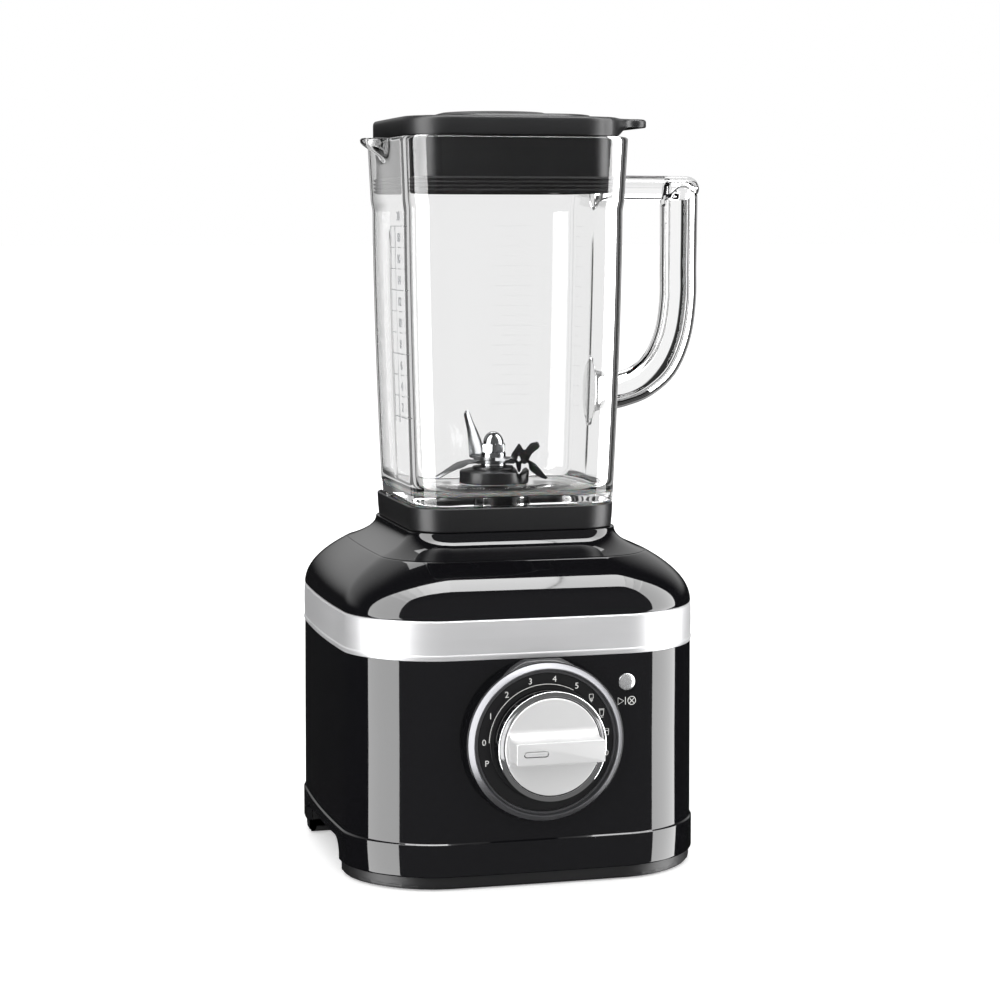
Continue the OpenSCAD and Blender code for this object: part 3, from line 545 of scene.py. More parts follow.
ON_AXIS = 0.05  # the radius of a profile that ends at the middle of a turned piece
press = BOX["start_button"]
button_r = (press[1].x - press[0].x) / 2
button = lathe("start_button_chrome", rounded([
    (ON_AXIS, press[0].y), (button_r * 0.5, press[0].y + 0.3, 6.0), (button_r * 0.86, press[0].y + 1.1, 2.0),
    (button_r, press[0].y + 2.1, 0.6), (button_r, press[1].y)], 6), (BUTTON.x, BUTTON.z), "Y", segments=64)
dress(button, "chrome", "button", "start_button", finish="satin_chrome")

skirt_box, ring_box, grip_box = BOX["knob_skirt"], BOX["knob_ring"], BOX["knob_grip"]
SKIRT_R = (skirt_box[1].x - skirt_box[0].x) / 2
RING_R = (ring_box[1].x - ring_box[0].x) / 2
RING_FRONT = ring_box[0].y
DISC_R = 26.1  # the round of the grip, in the middle of the ring
knob_skirt = lathe("knob_skirt_gloss", rounded([
    (7.5, skirt_box[1].y), (SKIRT_R - 1.2, skirt_box[1].y, 0.4), (SKIRT_R, skirt_box[1].y - 1.6, 0.8),
    (SKIRT_R, RING_FRONT + 2.2, 0.3), (SKIRT_R - 2.0, RING_FRONT + 1.8), (7.5, RING_FRONT + 1.8)], 4), DIAL, "Y",
    closed=True)
dress(knob_skirt, "gloss_black", "knob", "knob_skirt")
knob_ring = lathe("knob_ring_chrome", rounded([
    (RING_R, RING_FRONT + 1.7), (RING_R, RING_FRONT + 0.4, 0.5), (RING_R - 0.6, RING_FRONT, 0.5),
    (RING_R - 2.2, RING_FRONT + 0.5, 0.3), (RING_R - 2.9, RING_FRONT + 0.6, 0.2), (RING_R - 2.9, RING_FRONT + 1.7)], 4),
    DIAL, "Y", closed=True)
dress(knob_ring, "chrome", "knob", "knob_ring")

bar_front = grip_box[0].y
BAR_L, BAR_H = 48.0, 12.0
disc = lathe("knob_grip_metal", rounded([
    (ON_AXIS, RING_FRONT - 0.1), (DISC_R - 0.5, RING_FRONT - 0.1, 0.35), (DISC_R, RING_FRONT + 0.5, 0.4),
    (DISC_R, RING_FRONT + 2.4), (ON_AXIS, RING_FRONT + 2.4)], 4), DIAL, "Y")
FLARE = 5.2  # how far the bar widens to its root, and over what height
bar_rings = []
for i in range(13):
    a = math.pi / 2 * i / 12
    bar_rings.append((BAR_L, BAR_H + 2 * FLARE * (1 - math.sin(a)), RING_FRONT - 0.05 - FLARE * (1 - math.cos(a))))
bar_rings += [(BAR_L, BAR_H, bar_front + 1.0), (BAR_L - 0.2, BAR_H - 0.2, bar_front + 0.45),
              (BAR_L - 0.6, BAR_H - 0.6, bar_front + 0.14), (BAR_L - 1.3, BAR_H - 1.3, bar_front)]
bar = loft("bar", [[(DIAL[0] + u, y, DIAL[1] + v) for u, v in outline(w, d, 1.0, corner=6, side=20)]
                   for w, d, y in bar_rings])


def pill(grow, y0, y1):
    """The pointer mark at the bar's left end: a groove with a lower pill standing in it"""
    loop = offset_loop(outline(13.4, 3.4, 1.69, corner=8, side=4), grow)
    return loft("pill", [[(DIAL[0] - 13.5 + u, y, DIAL[1] + v) for u, v in loop] for y in (y0, y1)])


combine(bar, pill(0.0, bar_front - 2.0, bar_front + 0.9), "DIFFERENCE", 30.0)
combine(bar, pill(-0.55, bar_front + 0.1, bar_front + 1.6), "UNION", 30.0)
grip = combine(disc, bar, "UNION", 30.0)
dress(grip, "brushed_aluminium", "knob", "knob_grip")

# ---------------------------------------------------------------- the jar's collar

COLLAR_LOW, COLLAR_TOP = (corner.z for corner in BOX["jar_collar"])
neck_loop = outline(NECK_W, NECK_D, NECK_R, NECK_BOW, NECK_BOW, corner=24, side=28)
collar_piece = slab("jar_collar_satin", neck_loop, rounded([
    (-36.0, COLLAR_LOW), (-1.4, COLLAR_LOW, 0.3), (-0.8, COLLAR_LOW + 0.7, 0.5), (-0.3, 194.0, 20.0),
    (0.0, COLLAR_TOP - 0.4, 0.5), (-0.5, COLLAR_TOP, 0.4), (-1.1, COLLAR_TOP, 0.3),
    (-1.6, COLLAR_TOP - 1.2, 0.3), (-2.2, 194.0), (-8.0, 193.4), (-36.0, 193.4)]), closed=True)
dress(collar_piece, "matte_black", "jar", "jar_collar", finish="satin_black")

# ---------------------------------------------------------------- the glass jar

jar = BOX["jar_glass"]
JAR_X = 1.4
FOOT_Z, FLOOR_Z, RIM_Z, WALL = jar[0].z, 205.5, jar[1].z, 4.2
W_LOW, W_HIGH = 116.1, 124.1
STEP_LOW, STEP_TOP, W_STEP, W_RIM = 361, 369, 125.9, 128.6  # the wall steps out for the lid's seal


def wall_width(z):
    """The outer width of the jar at a height"""
    if z <= STEP_LOW:
        return W_LOW + (W_HIGH - W_LOW) * (1 - (1 - max(z - FLOOR_Z, -4.0) / 156.5) ** 1.6)
    if z <= STEP_TOP:
        return mix(wall_width(STEP_LOW), W_STEP, smooth((z - STEP_LOW) / (STEP_TOP - STEP_LOW)))
    return mix(W_STEP, W_RIM, (z - STEP_TOP) / 30)


def jar_depth(w, z):
    """The outer depth: a little more than the width, most at the foot"""
    return w + mix(4, 1, (z - FLOOR_Z) / 190)


def jar_loop(w, z, r):
    return outline(w, jar_depth(w, z), r, NECK_BOW, NECK_BOW, JAR_X, corner=14, side=40, power=1.5)


RIB_HALF, RIB_DEEP, RIB_LOW, RIB_TOP = 4.0, 0.7, 211, 354.0
SPOUT_LOW, SPOUT_OUT = 387.5, 13.0


def with_ribs(loop, z):
    """The inner wall's four upright ribs, one down the middle of each side"""
    fade = smooth((RIB_TOP - z) / 22) * smooth((z - RIB_LOW) / 12)
    if fade <= 0:
        return loop
    out = []
    for x, y in loop:
        u = x - JAR_X
        if abs(y) < abs(u) and abs(y) < RIB_HALF:
            x -= math.copysign(RIB_DEEP * fade * math.cos(math.pi / 2 * y / RIB_HALF) ** 2, u)
        elif abs(u) < abs(y) and abs(u) < RIB_HALF:
            y -= math.copysign(RIB_DEEP * fade * math.cos(math.pi / 2 * u / RIB_HALF) ** 2, y)
        out.append((x, y))
    return out


def with_spout(loop, z, wide):
    """The left wall drawn out towards the rim into the pouring lip"""
    lift = smooth((z - SPOUT_LOW) / (RIM_Z - 1.5 - SPOUT_LOW)) ** 1.2
    if lift <= 0:
        return loop
    return [(x - SPOUT_OUT * lift * math.exp(-((y / wide) ** 2)) if x < 0 and abs(y) < 40 else x, y) for x, y in loop]


HUB_HOLE, FOOT_RECESS, LIP, INNER_R, FLOOR_R = 15.8, 199.0, 2.1, 18, 9
base_loop = jar_loop(106.0, FOOT_Z, 17)
rings = [at_height(circle_like(base_loop, r), z) for r, z in
         ((HUB_HOLE, FLOOR_Z), (HUB_HOLE, FOOT_RECESS), (34.0, FOOT_RECESS), (36.0, FOOT_RECESS - 1.4),
          (37.2, FOOT_Z + 0.4), (38.0, FOOT_Z))]
for w, z, r in ((104.0, FOOT_Z, 16.0), (106.4, FOOT_Z + 0.2, 17.0), (107.6, FOOT_Z + 1.0, 17.6),
                (108.2, FOOT_Z + 2.2, 18.0), (110.6, 200.0, 19.0), (111.6, 200.5, 19.4), (114.0, 200.9, 20.6),
                (115.2, 201.4, 21.4), (115.6, 202.2, 21.8)):
    rings.append(at_height(jar_loop(w, z, r), z))


def heights(*runs):
    """Heights in runs of (first, step, count)"""
    return [first + step * i for first, step, count in runs for i in range(count)]


for z in heights((203.5, 4.5, 36), (362.5, 1.5, 13), (381.5, 1.1, 17)):
    rings.append(at_height(with_spout(jar_loop(wall_width(z), z, 22), z, 8.5), z))
lip_low = RIM_Z - LIP
for i in range(1, 8):
    a = math.pi * i / 8
    z = lip_low + LIP * math.sin(a)
    w = mix(wall_width(RIM_Z), wall_width(RIM_Z) - 2 * WALL, 0.5 - 0.5 * math.cos(a))
    rings.append(at_height(with_spout(jar_loop(w, z, mix(22, INNER_R, i / 8)), z, 7.5), z))
for z in heights((lip_low, -1.1, 17), (379.5, -1.5, 13), (358.5, -3.0, 48)):
    if z > FLOOR_Z + FLOOR_R + 0.5:
        inner = jar_loop(wall_width(z) - 2 * WALL, z, INNER_R)
        rings.append(at_height(with_ribs(with_spout(inner, z, 7.0), z), z))
for i in range(1, 10):
    a = math.pi / 2 * i / 9
    z = FLOOR_Z + FLOOR_R * (1 - math.sin(a))
    w = mix(91.7, wall_width(FLOOR_Z + FLOOR_R) - 2 * WALL, math.cos(a))
    rings.append(at_height(with_ribs(jar_loop(w, z, mix(INNER_R, 16, i / 9)), z), z))
rings += [at_height(circle_like(base_loop, r), FLOOR_Z) for r in (34.0, 24.0)]
glass = loft("glass_jar", rings, closed=True, sharp=60.0)

HANDLE_Y = 17.0


def handle_section(wide, thick):
    return outline(wide, thick, min(wide, thick) * 0.49, 0.5, 0.5, corner=8, side=4)


def sweep(name, stations, rows):
    """A tube over stations of (x, z, direction in degrees, thickness, depth beyond HANDLE_Y), smoothed between them"""
    stations = [(*station[:4], HANDLE_Y + station[4]) for station in stations]

    def spline(k, t):
        p = [stations[min(max(k + j, 0), len(stations) - 1)] for j in (-1, 0, 1, 2)]
        return [0.5 * (2 * b + (c - a) * t + (2 * a - 5 * b + 4 * c - d) * t * t + (3 * b - a - 3 * c + d) * t ** 3)
                for a, b, c, d in zip(*p)]
    found = []
    for k in range(len(stations) - 1):
        for i in range(rows):
            found.append(spline(k, i / rows))
    found.append(list(stations[-1]))
    rings = []
    for x, z, turn, thick, deep in found:
        s, c = math.sin(math.radians(turn)), math.cos(math.radians(turn))
        rings.append([(x - v * s, u, z + v * c) for u, v in handle_section(deep, thick)])
    return loft(name, rings)


GRIP_X, BAR_Z, ROOT_Z = 110.2, 375, 259.5  # the grip, the bar on top and the root below
grip_tube = sweep("handle_grip", [
    (109.3, 378.9, -90, 8.0, -10.0), (109.4, 378.4, -90, 13.0, -6.0), (109.8, 376.8, -90, 18.5, -2.0),
    (GRIP_X, 372.0, -90, 22, 0), (GRIP_X, 350.0, -90, 22, 0), (110.1, 330.0, -90, 22, 0),
    (110, 311, -91, 22, 0), (107, 291, -104, 22, 0), (99.5, 274.5, -125, 22, 0),
    (88, 264.5, -146, 21, 0), (77, 260.5, -166, 21, 0), (70.5, 259.6, -176, 22.4, 1.0),
    (66, ROOT_Z, -180, 24.6, 3.0), (63.4, ROOT_Z, -180, 29, 7.0),
    (62.0, ROOT_Z, -180, 35, 13.0), (59.6, ROOT_Z, -180, 37, 15.0)], 5)
bar_tube = sweep("handle_bar", [
    (61.6, BAR_Z, 0, 26, 11.0), (64.6, BAR_Z, 0, 24, 9.0), (65.6, BAR_Z, 0, 20, 5.0),
    (67.6, BAR_Z, 0, 16.6, 1.4), (70.5, BAR_Z, 0, 14.6, -0.4), (76, BAR_Z, 0, 14, -0.6),
    (95, BAR_Z, 0, 13.8, -0.6), (112, BAR_Z, 0, 13.6, -0.6), (115.6, BAR_Z, 0, 13.2, -1.0),
    (118.2, 374.9, 0, 11.8, -2.4), (120.0, 374.7, 0, 9.4, -5.0), (121.0, 374.5, 0, 6.2, -8.0),
    (121.2, 374.5, 0, 3.0, -12.0)], 4)
handle = combine(grip_tube, bar_tube, "UNION", 60.0)
glass = combine(glass, handle, "UNION", 60.0)
glass.visible_glossy = False  # the gloss of the base is lit by the studio alone
dress(glass, "clear_glass", "jar", "jar_glass")

# graduations moulded on the left wall and the far wall
scale_flat = []
LEVELS, LEVEL_LOW, LEVEL_STEP = 10, 248.5, 11.65
for i in range(LEVELS):
    z = LEVEL_LOW + LEVEL_STEP * i
    scale_flat.append(ribbon([(9.5, z), (37.0, z)] if i % 3 == 0 else [(9.5, z), (18.0, z)], 0.5))
    scale_flat.append(ribbon([(27.0, z), (33.0, z)], 0.5))
    scale_flat.append(digits(str(2 * (i + 1)), 7.0, (28.0, z + 5.2)))
scale_flat += [ribbon([(u, LEVEL_LOW - 3), (u, LEVEL_LOW + LEVEL_STEP * (LEVELS - 1))], 0.5) for u in (9.5, 20.0)]


def wall_out(half_w, half_d, u):
    """How far out a bowed wall stands at u along it"""
    return half_w + NECK_BOW * (1 - (u / half_d) ** 2)


def on_left(u, v, h):
    w = wall_width(v)
    return JAR_X - wall_out(w / 2 - NECK_BOW, jar_depth(w, v) / 2 - NECK_BOW, u) + 0.1 - h, -u, v


def on_back(u, v, h):
    w = wall_width(v)
    return JAR_X + u, wall_out(jar_depth(w, v) / 2 - NECK_BOW, w / 2 - NECK_BOW, u) - 0.1 + h, v


scale_left = mesh_object("scale_left", *raised(scale_flat, on_left, 0.45))
back_lines = [(14.0, 36.0, i, 0.45) for i in range(LEVELS)] + [(20.0, 31.0, i + 0.5, 0.4) for i in range(LEVELS - 1)]
scale_back = mesh_object("scale_back", *raised([
    ribbon([(u, LEVEL_LOW + LEVEL_STEP * level) for u in (u0, u1)], width) for u0, u1, level, width in back_lines],
    on_back, 0.3))
dress(scale_left, "clear_glass", "jar", finish="etched_glass")
dress(scale_back, "clear_glass", "jar")

# ---------------------------------------------------------------- the blades

hub = BOX["blade_hub"]
HUB_TOP, HUB_R = hub[1].z, (hub[1].x - hub[0].x) / 2
hub_piece = lathe("blade_hub_black", rounded([
    (5.2, hub[0].z), (15.5, hub[0].z, 0.4), (15.5, FLOOR_Z + 0.4), (HUB_R - 0.3, FLOOR_Z + 0.6, 0.3),
    (HUB_R, FLOOR_Z + 1.6, 0.5), (HUB_R, 215.4, 1.0), (HUB_R - 3.4, HUB_TOP - 1.6, 0.8), (12.4, HUB_TOP - 1.5, 0.4),
    (11.8, HUB_TOP - 0.1, 0.3), (8.6, HUB_TOP, 0.3), (5.2, HUB_TOP)], 4), closed=True, segments=96)
dress(hub_piece, "hub_black", "jar", "blade_hub")

BLADE_T, TIP_LEAD = 1.8, 0.3  # thickness; how far the tip leads, as a share of the root's width
LOWER_DISC_Z = 219.6  # the lower blade's box starts at its tips, which hang below its disc


def blade_arm(az, reach, elbow, rise, w0, w1, roll, z0):
    """One arm: flat root, a soft bend at the elbow, and a tapering tip ground thin on both edges"""
    rows, cols = 26, 9
    lean = math.atan2(rise, reach - elbow)
    length = elbow + math.hypot(reach - elbow, rise)
    c, s_az = math.cos(math.radians(az)), math.sin(math.radians(az))
    top, low = [], []
    px, pz, angle = 0.0, 0.0, 0.0
    for i in range(rows + 1):
        s = length * i / rows
        if i:
            angle = lean * smooth((s - elbow + 1.6) / 3.2)
            px += length / rows * math.cos(angle)
            pz += length / rows * math.sin(angle)
        t = smooth((s - elbow) / (length - elbow)) if s > elbow else 0.0
        half = mix(w0, w1, t) / 2
        end = max(0.0, (s - length + half) / half)
        half *= math.sqrt(max(1 - (0.96 * end) ** 2, 0.01))
        turn = math.radians(roll) * smooth((s - elbow * 0.7) / (elbow * 0.6))
        for j in range(cols):
            v = 2 * j / (cols - 1) - 1
            ground = s > elbow * 0.7
            thin = 0.12 if ground and abs(v) > 0.98 else 0.55 if ground and abs(v) > 0.7 else 1.0
            across = half * v + TIP_LEAD * w0 * t * t
            for side, row in ((1, top), (-1, low)):
                h = side * BLADE_T / 2 * thin
                up = BLADE_T / 2 + across * math.sin(turn) + h * math.cos(turn)
                x, y = px - math.sin(angle) * up, across * math.cos(turn) - h * math.sin(turn)
                row.append((x * c - y * s_az, x * s_az + y * c, pz + math.cos(angle) * up + z0))
    n = len(top)
    faces = []
    for i in range(rows):
        for a in range(i * cols, i * cols + cols - 1):
            faces += [(a, a + cols, a + cols + 1, a + 1), (n + a, n + a + 1, n + a + cols + 1, n + a + cols)]
        a, b = i * cols, i * cols + cols - 1
        faces += [(a, n + a, n + a + cols, a + cols), (b, b + cols, n + b + cols, n + b)]
    for a in range(cols - 1):
        b = rows * cols + a
        faces += [(a, a + 1, n + a + 1, n + a), (b, n + b, n + b + 1, b + 1)]
    return mesh_object("arm", top + low, faces, 25.0)


def blade(name, node_name, z0, arms):
    disc = lathe("disc", rounded([(3.1, z0), (7.6, z0, 0.2), (7.6, z0 + BLADE_T, 0.2), (3.1, z0 + BLADE_T)], 2),
                 closed=True, segments=48)
    piece = joined(name, disc, *[blade_arm(*arm, z0 + 0.02) for arm in arms])
    dress(piece, "blade_steel", "blades", node_name)


blade("lower_blade_ground", "lower_blade", LOWER_DISC_Z, [
    (172, 34.4, 15, -8, 11, 5, -14), (-10, 31.5, 18, -9.5, 11, 6, -32)])
blade("upper_blade_ground", "upper_blade", BOX["upper_blade"][0].z, [
    (120, 19.5, 14.5, 26, 12, 5, 0), (-50, 28, 17, 11, 11, 6.5, -34)])

nut = BOX["acorn_nut"]
hexagon = arc((0, 0), 7.45, 12, 372, 6)
hex_loop = []
for i in range(6):
    a, b = hexagon[i], hexagon[i + 1]
    hex_loop += [(mix(a[0], b[0], t), mix(a[1], b[1], t)) for t in (0.03, 0.12, 0.3, 0.5, 0.7, 0.88, 0.97)]


def chamfered(loop, z, limit):
    """The hexagon cut by a cone, as a turned nut's corners are"""
    return [(x * min(1, limit / math.hypot(x, y)), y * min(1, limit / math.hypot(x, y)), z) for x, y in loop]


nut_top = 231.0
nut_rings = [chamfered(hex_loop, z, limit) for z, limit in (
    (nut[0].z, 6.5), (nut[0].z + 0.5, 7.0), (nut[0].z + 0.9, 9.0), (nut_top - 0.9, 9.0), (nut_top - 0.5, 7.0),
    (nut_top - 0.1, 6.4))]
dome_h = nut[1].z - nut_top
for i in range(12):
    a = math.pi / 2 * i / 12
    nut_rings.append(at_height(circle_like(hex_loop, 5.8 * math.cos(a)), nut_top + dome_h * math.sin(a)))
dress(loft("acorn_nut_polished", nut_rings, sharp=30.0), "steel", "blades", "acorn_nut")

# ---------------------------------------------------------------- the lid

lid = BOX["lid"]
LID_W, LID_R, LID_X, LID_LOW, LID_TOP = 123.0, 25.7, 0.6, 402.2, 412.5
TAB_X, TAB_HALF, TAB_LOW = 82.4, 31.0, 407.8
lid_base = outline(LID_W, LID_W, LID_R, NECK_BOW, NECK_BOW, LID_X, corner=18, side=24)
edge_x = LID_X + LID_W / 2
TAB_ROOT, TIP_R = 54.0, 8.0  # the root is an angle round the lid's corner


def tab_path():
    """The right-hand side of the lid with its tab, from low y to high y"""
    a = math.radians(TAB_ROOT)
    root = Vector((edge_x - LID_R + LID_R * math.cos(a), LID_R - LID_W / 2 - LID_R * math.sin(a)))
    tip = Vector((TAB_X - TIP_R, -TAB_HALF))
    c1, c2 = root + 15 * Vector((math.sin(a), math.cos(a))), tip - Vector((12, 0))
    path = []
    for t in (i / 18 for i in range(18)):
        p = root * (1 - t) ** 3 + c1 * 3 * t * (1 - t) ** 2 + c2 * 3 * t * t * (1 - t) + tip * t ** 3
        path.append((p.x, p.y))
    path += [(TAB_X - TIP_R + TIP_R * math.sin(a), -TAB_HALF + TIP_R * (1 - math.cos(a)))
             for a in (math.pi / 2 * i / 10 for i in range(11))]
    path += [(TAB_X, y) for y in (-7.0, 0.0)]
    return path + [(x, -y) for x, y in reversed(path[:-1])]


corner_y = abs(tab_path()[0][1])
lid_loop = tab_path() + [p for p in lid_base if not (p[0] > 50 and abs(p[1]) < corner_y + 0.3)]


def lid_ring(grow, z, tab_z):
    """The lid's loop at height z, which along the tab rises to tab_z"""
    return [(x, y, mix(z, tab_z, smooth((x - 57.0) / 15.0))) for x, y in offset_loop(lid_loop, grow)]


lid_edge = loft("lid_edge", [lid_ring(*row) for row in (
    (-2.4, LID_LOW + 1.2, TAB_LOW + 1.2), (-2.0, LID_LOW + 0.1, TAB_LOW + 0.1), (-0.9, LID_LOW, TAB_LOW),
    (-0.3, LID_LOW + 0.25, TAB_LOW + 0.2), (0.0, LID_LOW + 0.9, TAB_LOW + 0.7),
    (0.0, LID_TOP - 2.6, LID_TOP - 1.4), (-0.15, LID_TOP - 1.6, LID_TOP - 0.95),
    (-0.5, LID_TOP - 0.8, LID_TOP - 0.5), (-1.1, LID_TOP - 0.25, LID_TOP - 0.15), (-2.0, LID_TOP, LID_TOP))])
plateau = slab("plateau", outline(86, 80, 20, 2, 2, 9, corner=16, side=12), rounded([
    (1.5, LID_TOP - 0.6), (1.2, LID_TOP, 0.8), (0.2, LID_TOP + 0.6, 1.2), (-0.9, lid[1].z - 1.0, 1.0),
    (-3.0, lid[1].z - 0.7)], 4))
plug_low = lid[0].z
plug_loop = outline(113, 114, 16, NECK_BOW, NECK_BOW, JAR_X, corner=16, side=24)
plug = slab("plug", plug_loop, rounded([
    (-2.5, LID_LOW + 2.0), (-2.5, plug_low, 0.6), (-0.4, plug_low, 0.6), (0.0, plug_low + 1.2, 0.5),
    (0.0, LID_LOW + 2.0)], 3), closed=True)
dress(joined("lid_satin", lid_edge, plateau, plug), "satin_black", "lid", "lid")

seal = BOX["lid_seal"]
seal_out = (seal[1].x - seal[0].x) / 2 - 56.5  # how far the ribs stand out of the plug
step = (seal[1].z - seal[0].z) / 8
seal_profile = [(-0.2, seal[0].z)]
for i in range(4):
    z = mix(seal[0].z, seal[1].z, (i + 0.5) / 4)
    seal_profile += [(0.35, z - step * 0.95), (0.8, z - step * 0.5), (seal_out, z), (0.8, z + step * 0.5),
                     (0.35, z + step * 0.95)]
seal_profile += [(-0.2, seal[1].z)]
dress(slab("lid_seal_ribbed", plug_loop, rounded([(g, z, 0.3) for g, z in seal_profile], 2), closed=True, sharp=50),
      "black_rubber", "lid", "lid_seal")

cap = BOX["ingredient_cap"]
CAP_TOP = cap[1].z - 1.3
cap_piece = lathe("ingredient_cap_satin", rounded([
    (ON_AXIS, CAP_TOP - 0.5), (16.0, CAP_TOP - 0.5, 8.0), (24.5, CAP_TOP - 0.15, 5.0), (28.6, CAP_TOP, 1.0),
    (30.6, CAP_TOP - 0.55, 0.5), (31.9, CAP_TOP - 0.9, 0.3), (31.9, lid[1].z - 0.55, 0.2), (28.9, lid[1].z - 0.55, 0.2),
    (28.9, cap[0].z + 0.6, 0.5), (28.2, cap[0].z, 0.4), (26.4, cap[0].z, 0.4), (26.2, CAP_TOP - 3.0, 1.0),
    (ON_AXIS, CAP_TOP - 3.0)], 4), segments=120)
dress(cap_piece, "satin_black", "cap", "ingredient_cap")

# ---------------------------------------------------------------- studio

def linked(t, socket, value):
    if isinstance(value, (int, float)):
        socket.default_value = value
    elif value is not None:
        t.links.new(value, socket)


def math_node(t, op, a, b=None):
    m = node(t, "Math", operation=op)
    linked(t, m.inputs[0], a)
    linked(t, m.inputs[1], b)
    return m.outputs[0]


def ramp(t, value, low, high, a, b):
    """A smooth change from a at low to b at high"""
    m = node(t, "MapRange", interpolation_type="SMOOTHSTEP", From_Min=low, From_Max=high, To_Min=a, To_Max=b)
    t.links.new(value, m.inputs["Value"])
    return m.outputs[0]


def choose(t, test, yes, no):
    m = node(t, "Mix", data_type="FLOAT")
    t.links.new(test, m.inputs["Factor"])
    linked(t, m.inputs[2], no)
    linked(t, m.inputs[3], yes)
    return m.outputs[0]


# dark cards round the object: middle and half width in degrees of azimuth, from +Y towards +X
CARDS = ((-84, 5), (-66, 7), (-45, 3), (-24, 3), (-7, 4.5), (36, 5.5), (50, 3), (66, 9), (88, 5), (112.5, 10),
         (-112.5, 10), (157.5, 9), (-157.5, 9))


def card_nodes(t, x, y):
    """0 on a dark card and 1 between them, for a direction with these x and y"""
    azimuth = math_node(t, "ARCTAN2", x, y)
    cards = None
    for centre, half in CARDS:
        away = math_node(t, "ABSOLUTE", math_node(t, "SUBTRACT", azimuth, math.radians(centre)))
        keep = ramp(t, away, math.radians(half * 0.7), math.radians(half * 1.3), 0.0, 1.0)
        cards = keep if cards is None else math_node(t, "MULTIPLY", cards, keep)
    return cards


def through_glass(t, path, cards, y):
    """What glass shows: white where both walls are crossed, the cards in its edges, and dim after a bounce inside"""
    carded = ramp(t, cards, 0, 1, 0.03, 1.0)
    single = math_node(t, "LESS_THAN", path.outputs["Transmission Depth"], 2.5)
    bounced = math_node(t, "GREATER_THAN", path.outputs["Glossy Depth"], 0.5)
    inside = math_node(t, "MULTIPLY", carded, ramp(t, y, 0.0, 0.9, 0.06, 0.75))
    return choose(t, bounced, inside, choose(t, single, carded, 1.0))


floor_mesh = bpy.data.meshes.new("studio_floor")
floor_mesh.from_pydata([(-40, -40, 0), (40, -40, 0), (40, 40, 0), (-40, 40, 0)], [], [(0, 1, 2, 3)])
floor = placed("studio_floor", floor_mesh)
floor_mat, floor_tree, floor_shader = principled(
    "studio_floor", Base_Color=(0.95, 0.95, 0.95, 1), Roughness=1.0, Specular_IOR_Level=0.0,
    Emission_Color=(1, 1, 1, 1), Emission_Strength=0.4)
link = floor_tree.links.new
through = node(floor_tree, "Emission")
ray = node(floor_tree, "LightPath")
outwards = node(floor_tree, "VectorMath", operation="NORMALIZE")
link(node(floor_tree, "NewGeometry").outputs["Position"], outwards.inputs[0])
floor_split = node(floor_tree, "SeparateXYZ")
link(outwards.outputs[0], floor_split.inputs[0])
floor_x, floor_y, _ = floor_split.outputs
floor_cards = card_nodes(floor_tree, floor_x, floor_y)
link(through_glass(floor_tree, ray, floor_cards, floor_y), through.inputs["Strength"])
either = node(floor_tree, "MixShader")
link(ray.outputs["Is Transmission Ray"], either.inputs[0])
link(floor_shader.outputs[0], either.inputs[1])
link(through.outputs[0], either.inputs[2])
link(either.outputs[0], floor_tree.nodes["Material Output"].inputs["Surface"])
floor_mesh.materials.append(floor_mat)
floor.visible_glossy = False

scene = bpy.context.scene
scene.view_settings.view_transform = "Standard"

CAMERA_AT, CAMERA_TURN, LENS = (-0.3579, -1.3729, 0.3541), (83.73, 0.0, -14.78), 90.2
camera_data = bpy.data.cameras.new("camera")
camera_data.lens, camera_data.sensor_width = LENS, 36.0
camera_data.clip_start, camera_data.clip_end = 0.05, 50.0
camera = placed("camera", camera_data)
camera.location = CAMERA_AT
camera.rotation_euler = [math.radians(a) for a in CAMERA_TURN]
scene.camera = camera


def panel(name, centre, aim, size, radiance, glossy=True, diffuse=False):
    """A soft box that faces aim; radiance is how bright its face looks"""
    data = bpy.data.lights.new(name, "AREA")
    data.shape, data.size, data.size_y = "RECTANGLE", size[0], size[1]
    data.energy = radiance * math.pi * size[0] * size[1]
    obj = placed(name, data)
    obj.location = centre
    obj.rotation_euler = (Vector(aim) - Vector(centre)).to_track_quat("-Z", "Y").to_euler()
    obj.visible_camera = False
    obj.visible_glossy, obj.visible_diffuse = glossy, diffuse


# An arch of soft boxes in front: two uprights and a lintel, which the glossy body shows as stripes
ARCH_X, ARCH_FRONT, ARCH_BACK, ARCH_TOP, ARCH_LOW = 1.0, -0.7, 0.02, 2.1, -0.7
ARCH_BEND, SIDE_LIGHT, TOP_LIGHT = 0.7, 6.0, 11.0
arch_y, deep = (ARCH_FRONT + ARCH_BACK) / 2, ARCH_BACK - ARCH_FRONT
bend_z = ARCH_TOP - ARCH_BEND
low_z, chord = (bend_z + ARCH_LOW) / 2, 2 * ARCH_BEND * math.sin(math.pi / 16)
for side in (-1, 1):
    panel("upright", (side * ARCH_X, arch_y, low_z), (0, arch_y, low_z), (deep, bend_z - ARCH_LOW), SIDE_LIGHT)
    for i in range(4):
        a = math.pi / 2 * (i + 0.5) / 4
        at = (side * (ARCH_X - ARCH_BEND + ARCH_BEND * math.cos(a)), arch_y, bend_z + ARCH_BEND * math.sin(a))
        panel("bend", at, (side * (ARCH_X - ARCH_BEND), arch_y, bend_z), (deep, chord),
              mix(SIDE_LIGHT, TOP_LIGHT, (i + 0.5) / 4))
panel("lintel", (0, arch_y, ARCH_TOP), (0, arch_y, 0), (2 * (ARCH_X - ARCH_BEND), deep), TOP_LIGHT)
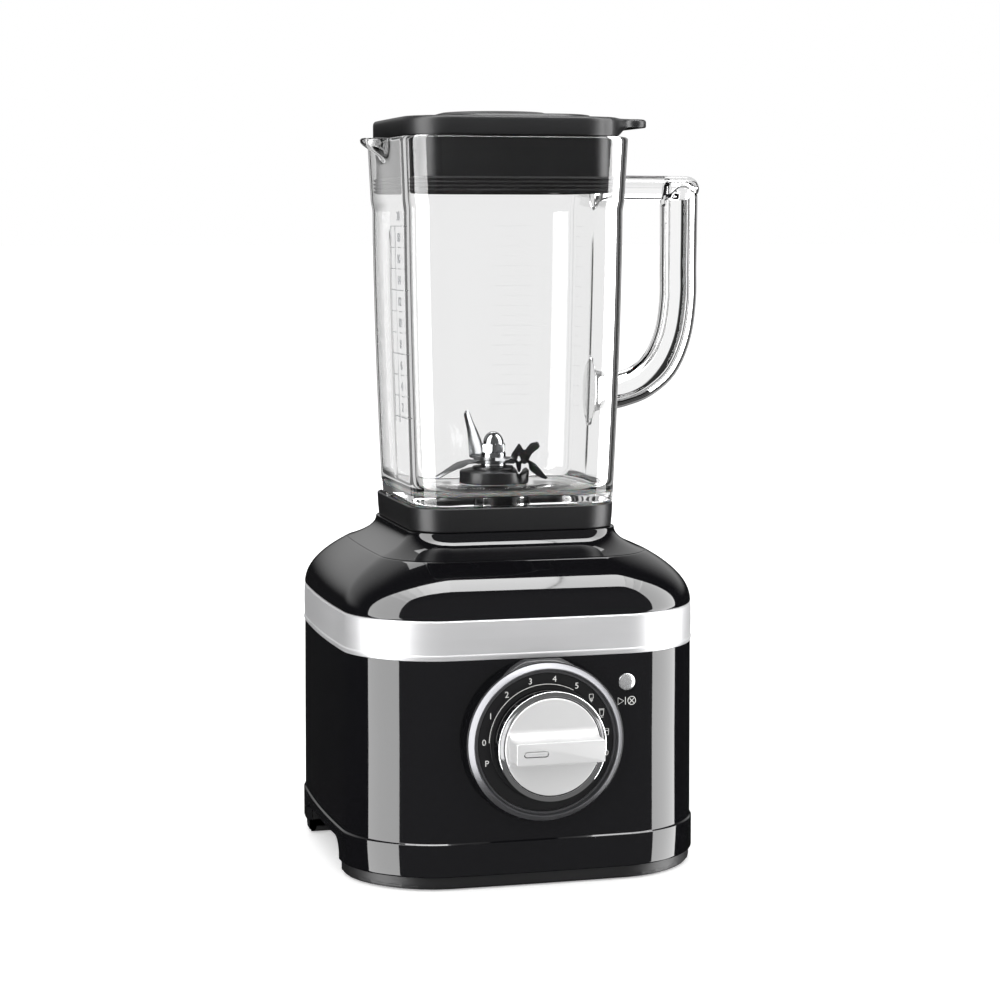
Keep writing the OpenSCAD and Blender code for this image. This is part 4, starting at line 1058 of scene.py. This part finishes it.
panel("key", (-0.8, -1.7, 1.2), (0, 0, 0.15), (1.4, 1.4), 2.4, glossy=False, diffuse=True)
panel("fill", (1.3, -1.2, 1.4), (0, 0, 0.15), (1.2, 1.2), 1.6, glossy=False, diffuse=True)
panel("rear_fill", (0.2, 1.7, 1.6), (0, 0, 0.15), (1.6, 1.2), 2.0, glossy=False, diffuse=True)
panel("rear_strip", (0.25, 1.15, 1.95), (0, 0, 0.17), (1.2, 0.55), 2.6)


def world_nodes():
    """White to the camera; to the glass white with dark cards at its edges; to gloss a dark room with a soft glow"""
    world = bpy.data.worlds.new("studio")
    scene.world = world
    world.use_nodes = True
    t = world.node_tree
    t.nodes.clear()
    background = node(t, "Background", Strength=1.0)
    t.links.new(background.outputs[0], node(t, "OutputWorld").inputs["Surface"])
    path = node(t, "LightPath")
    split = node(t, "SeparateXYZ")
    t.links.new(node(t, "TexCoord").outputs["Generated"], split.inputs[0])

    x, y, z = split.outputs
    cards = card_nodes(t, x, y)
    seen = math_node(t, "MULTIPLY", through_glass(t, path, cards, y), ramp(t, z, 0.55, 0.8, 1.0, 0.35))

    # the dark room: a glow behind that starts above the horizon, and a dim front
    behind = ramp(t, y, 0.3, 0.75, 0.0, 1.0)
    rise = math_node(t, "MULTIPLY", ramp(t, z, 0.03, 0.26, 0.0, 0.55), ramp(t, z, 0.75, 0.9, 1.0, 0.2))
    gloss = math_node(t, "ADD", math_node(t, "MULTIPLY", behind, rise), ramp(t, y, -0.6, -0.1, 0.14, 0.012))

    # what the glass mirrors on its outside: pale behind, dark in front
    mirror = math_node(t, "MULTIPLY", ramp(t, cards, 0, 1, 0.1, 1.0), ramp(t, y, 0.0, 0.8, 0.1, 0.8))
    mirrored = choose(t, path.outputs["Is Singular Ray"], mirror, gloss)
    value = choose(t, path.outputs["Is Glossy Ray"], mirrored, 0.8)
    value = choose(t, path.outputs["Is Transmission Ray"], seen, value)
    value = choose(t, path.outputs["Is Camera Ray"], 1.0, value)
    t.links.new(value, background.inputs["Color"])


world_nodes()
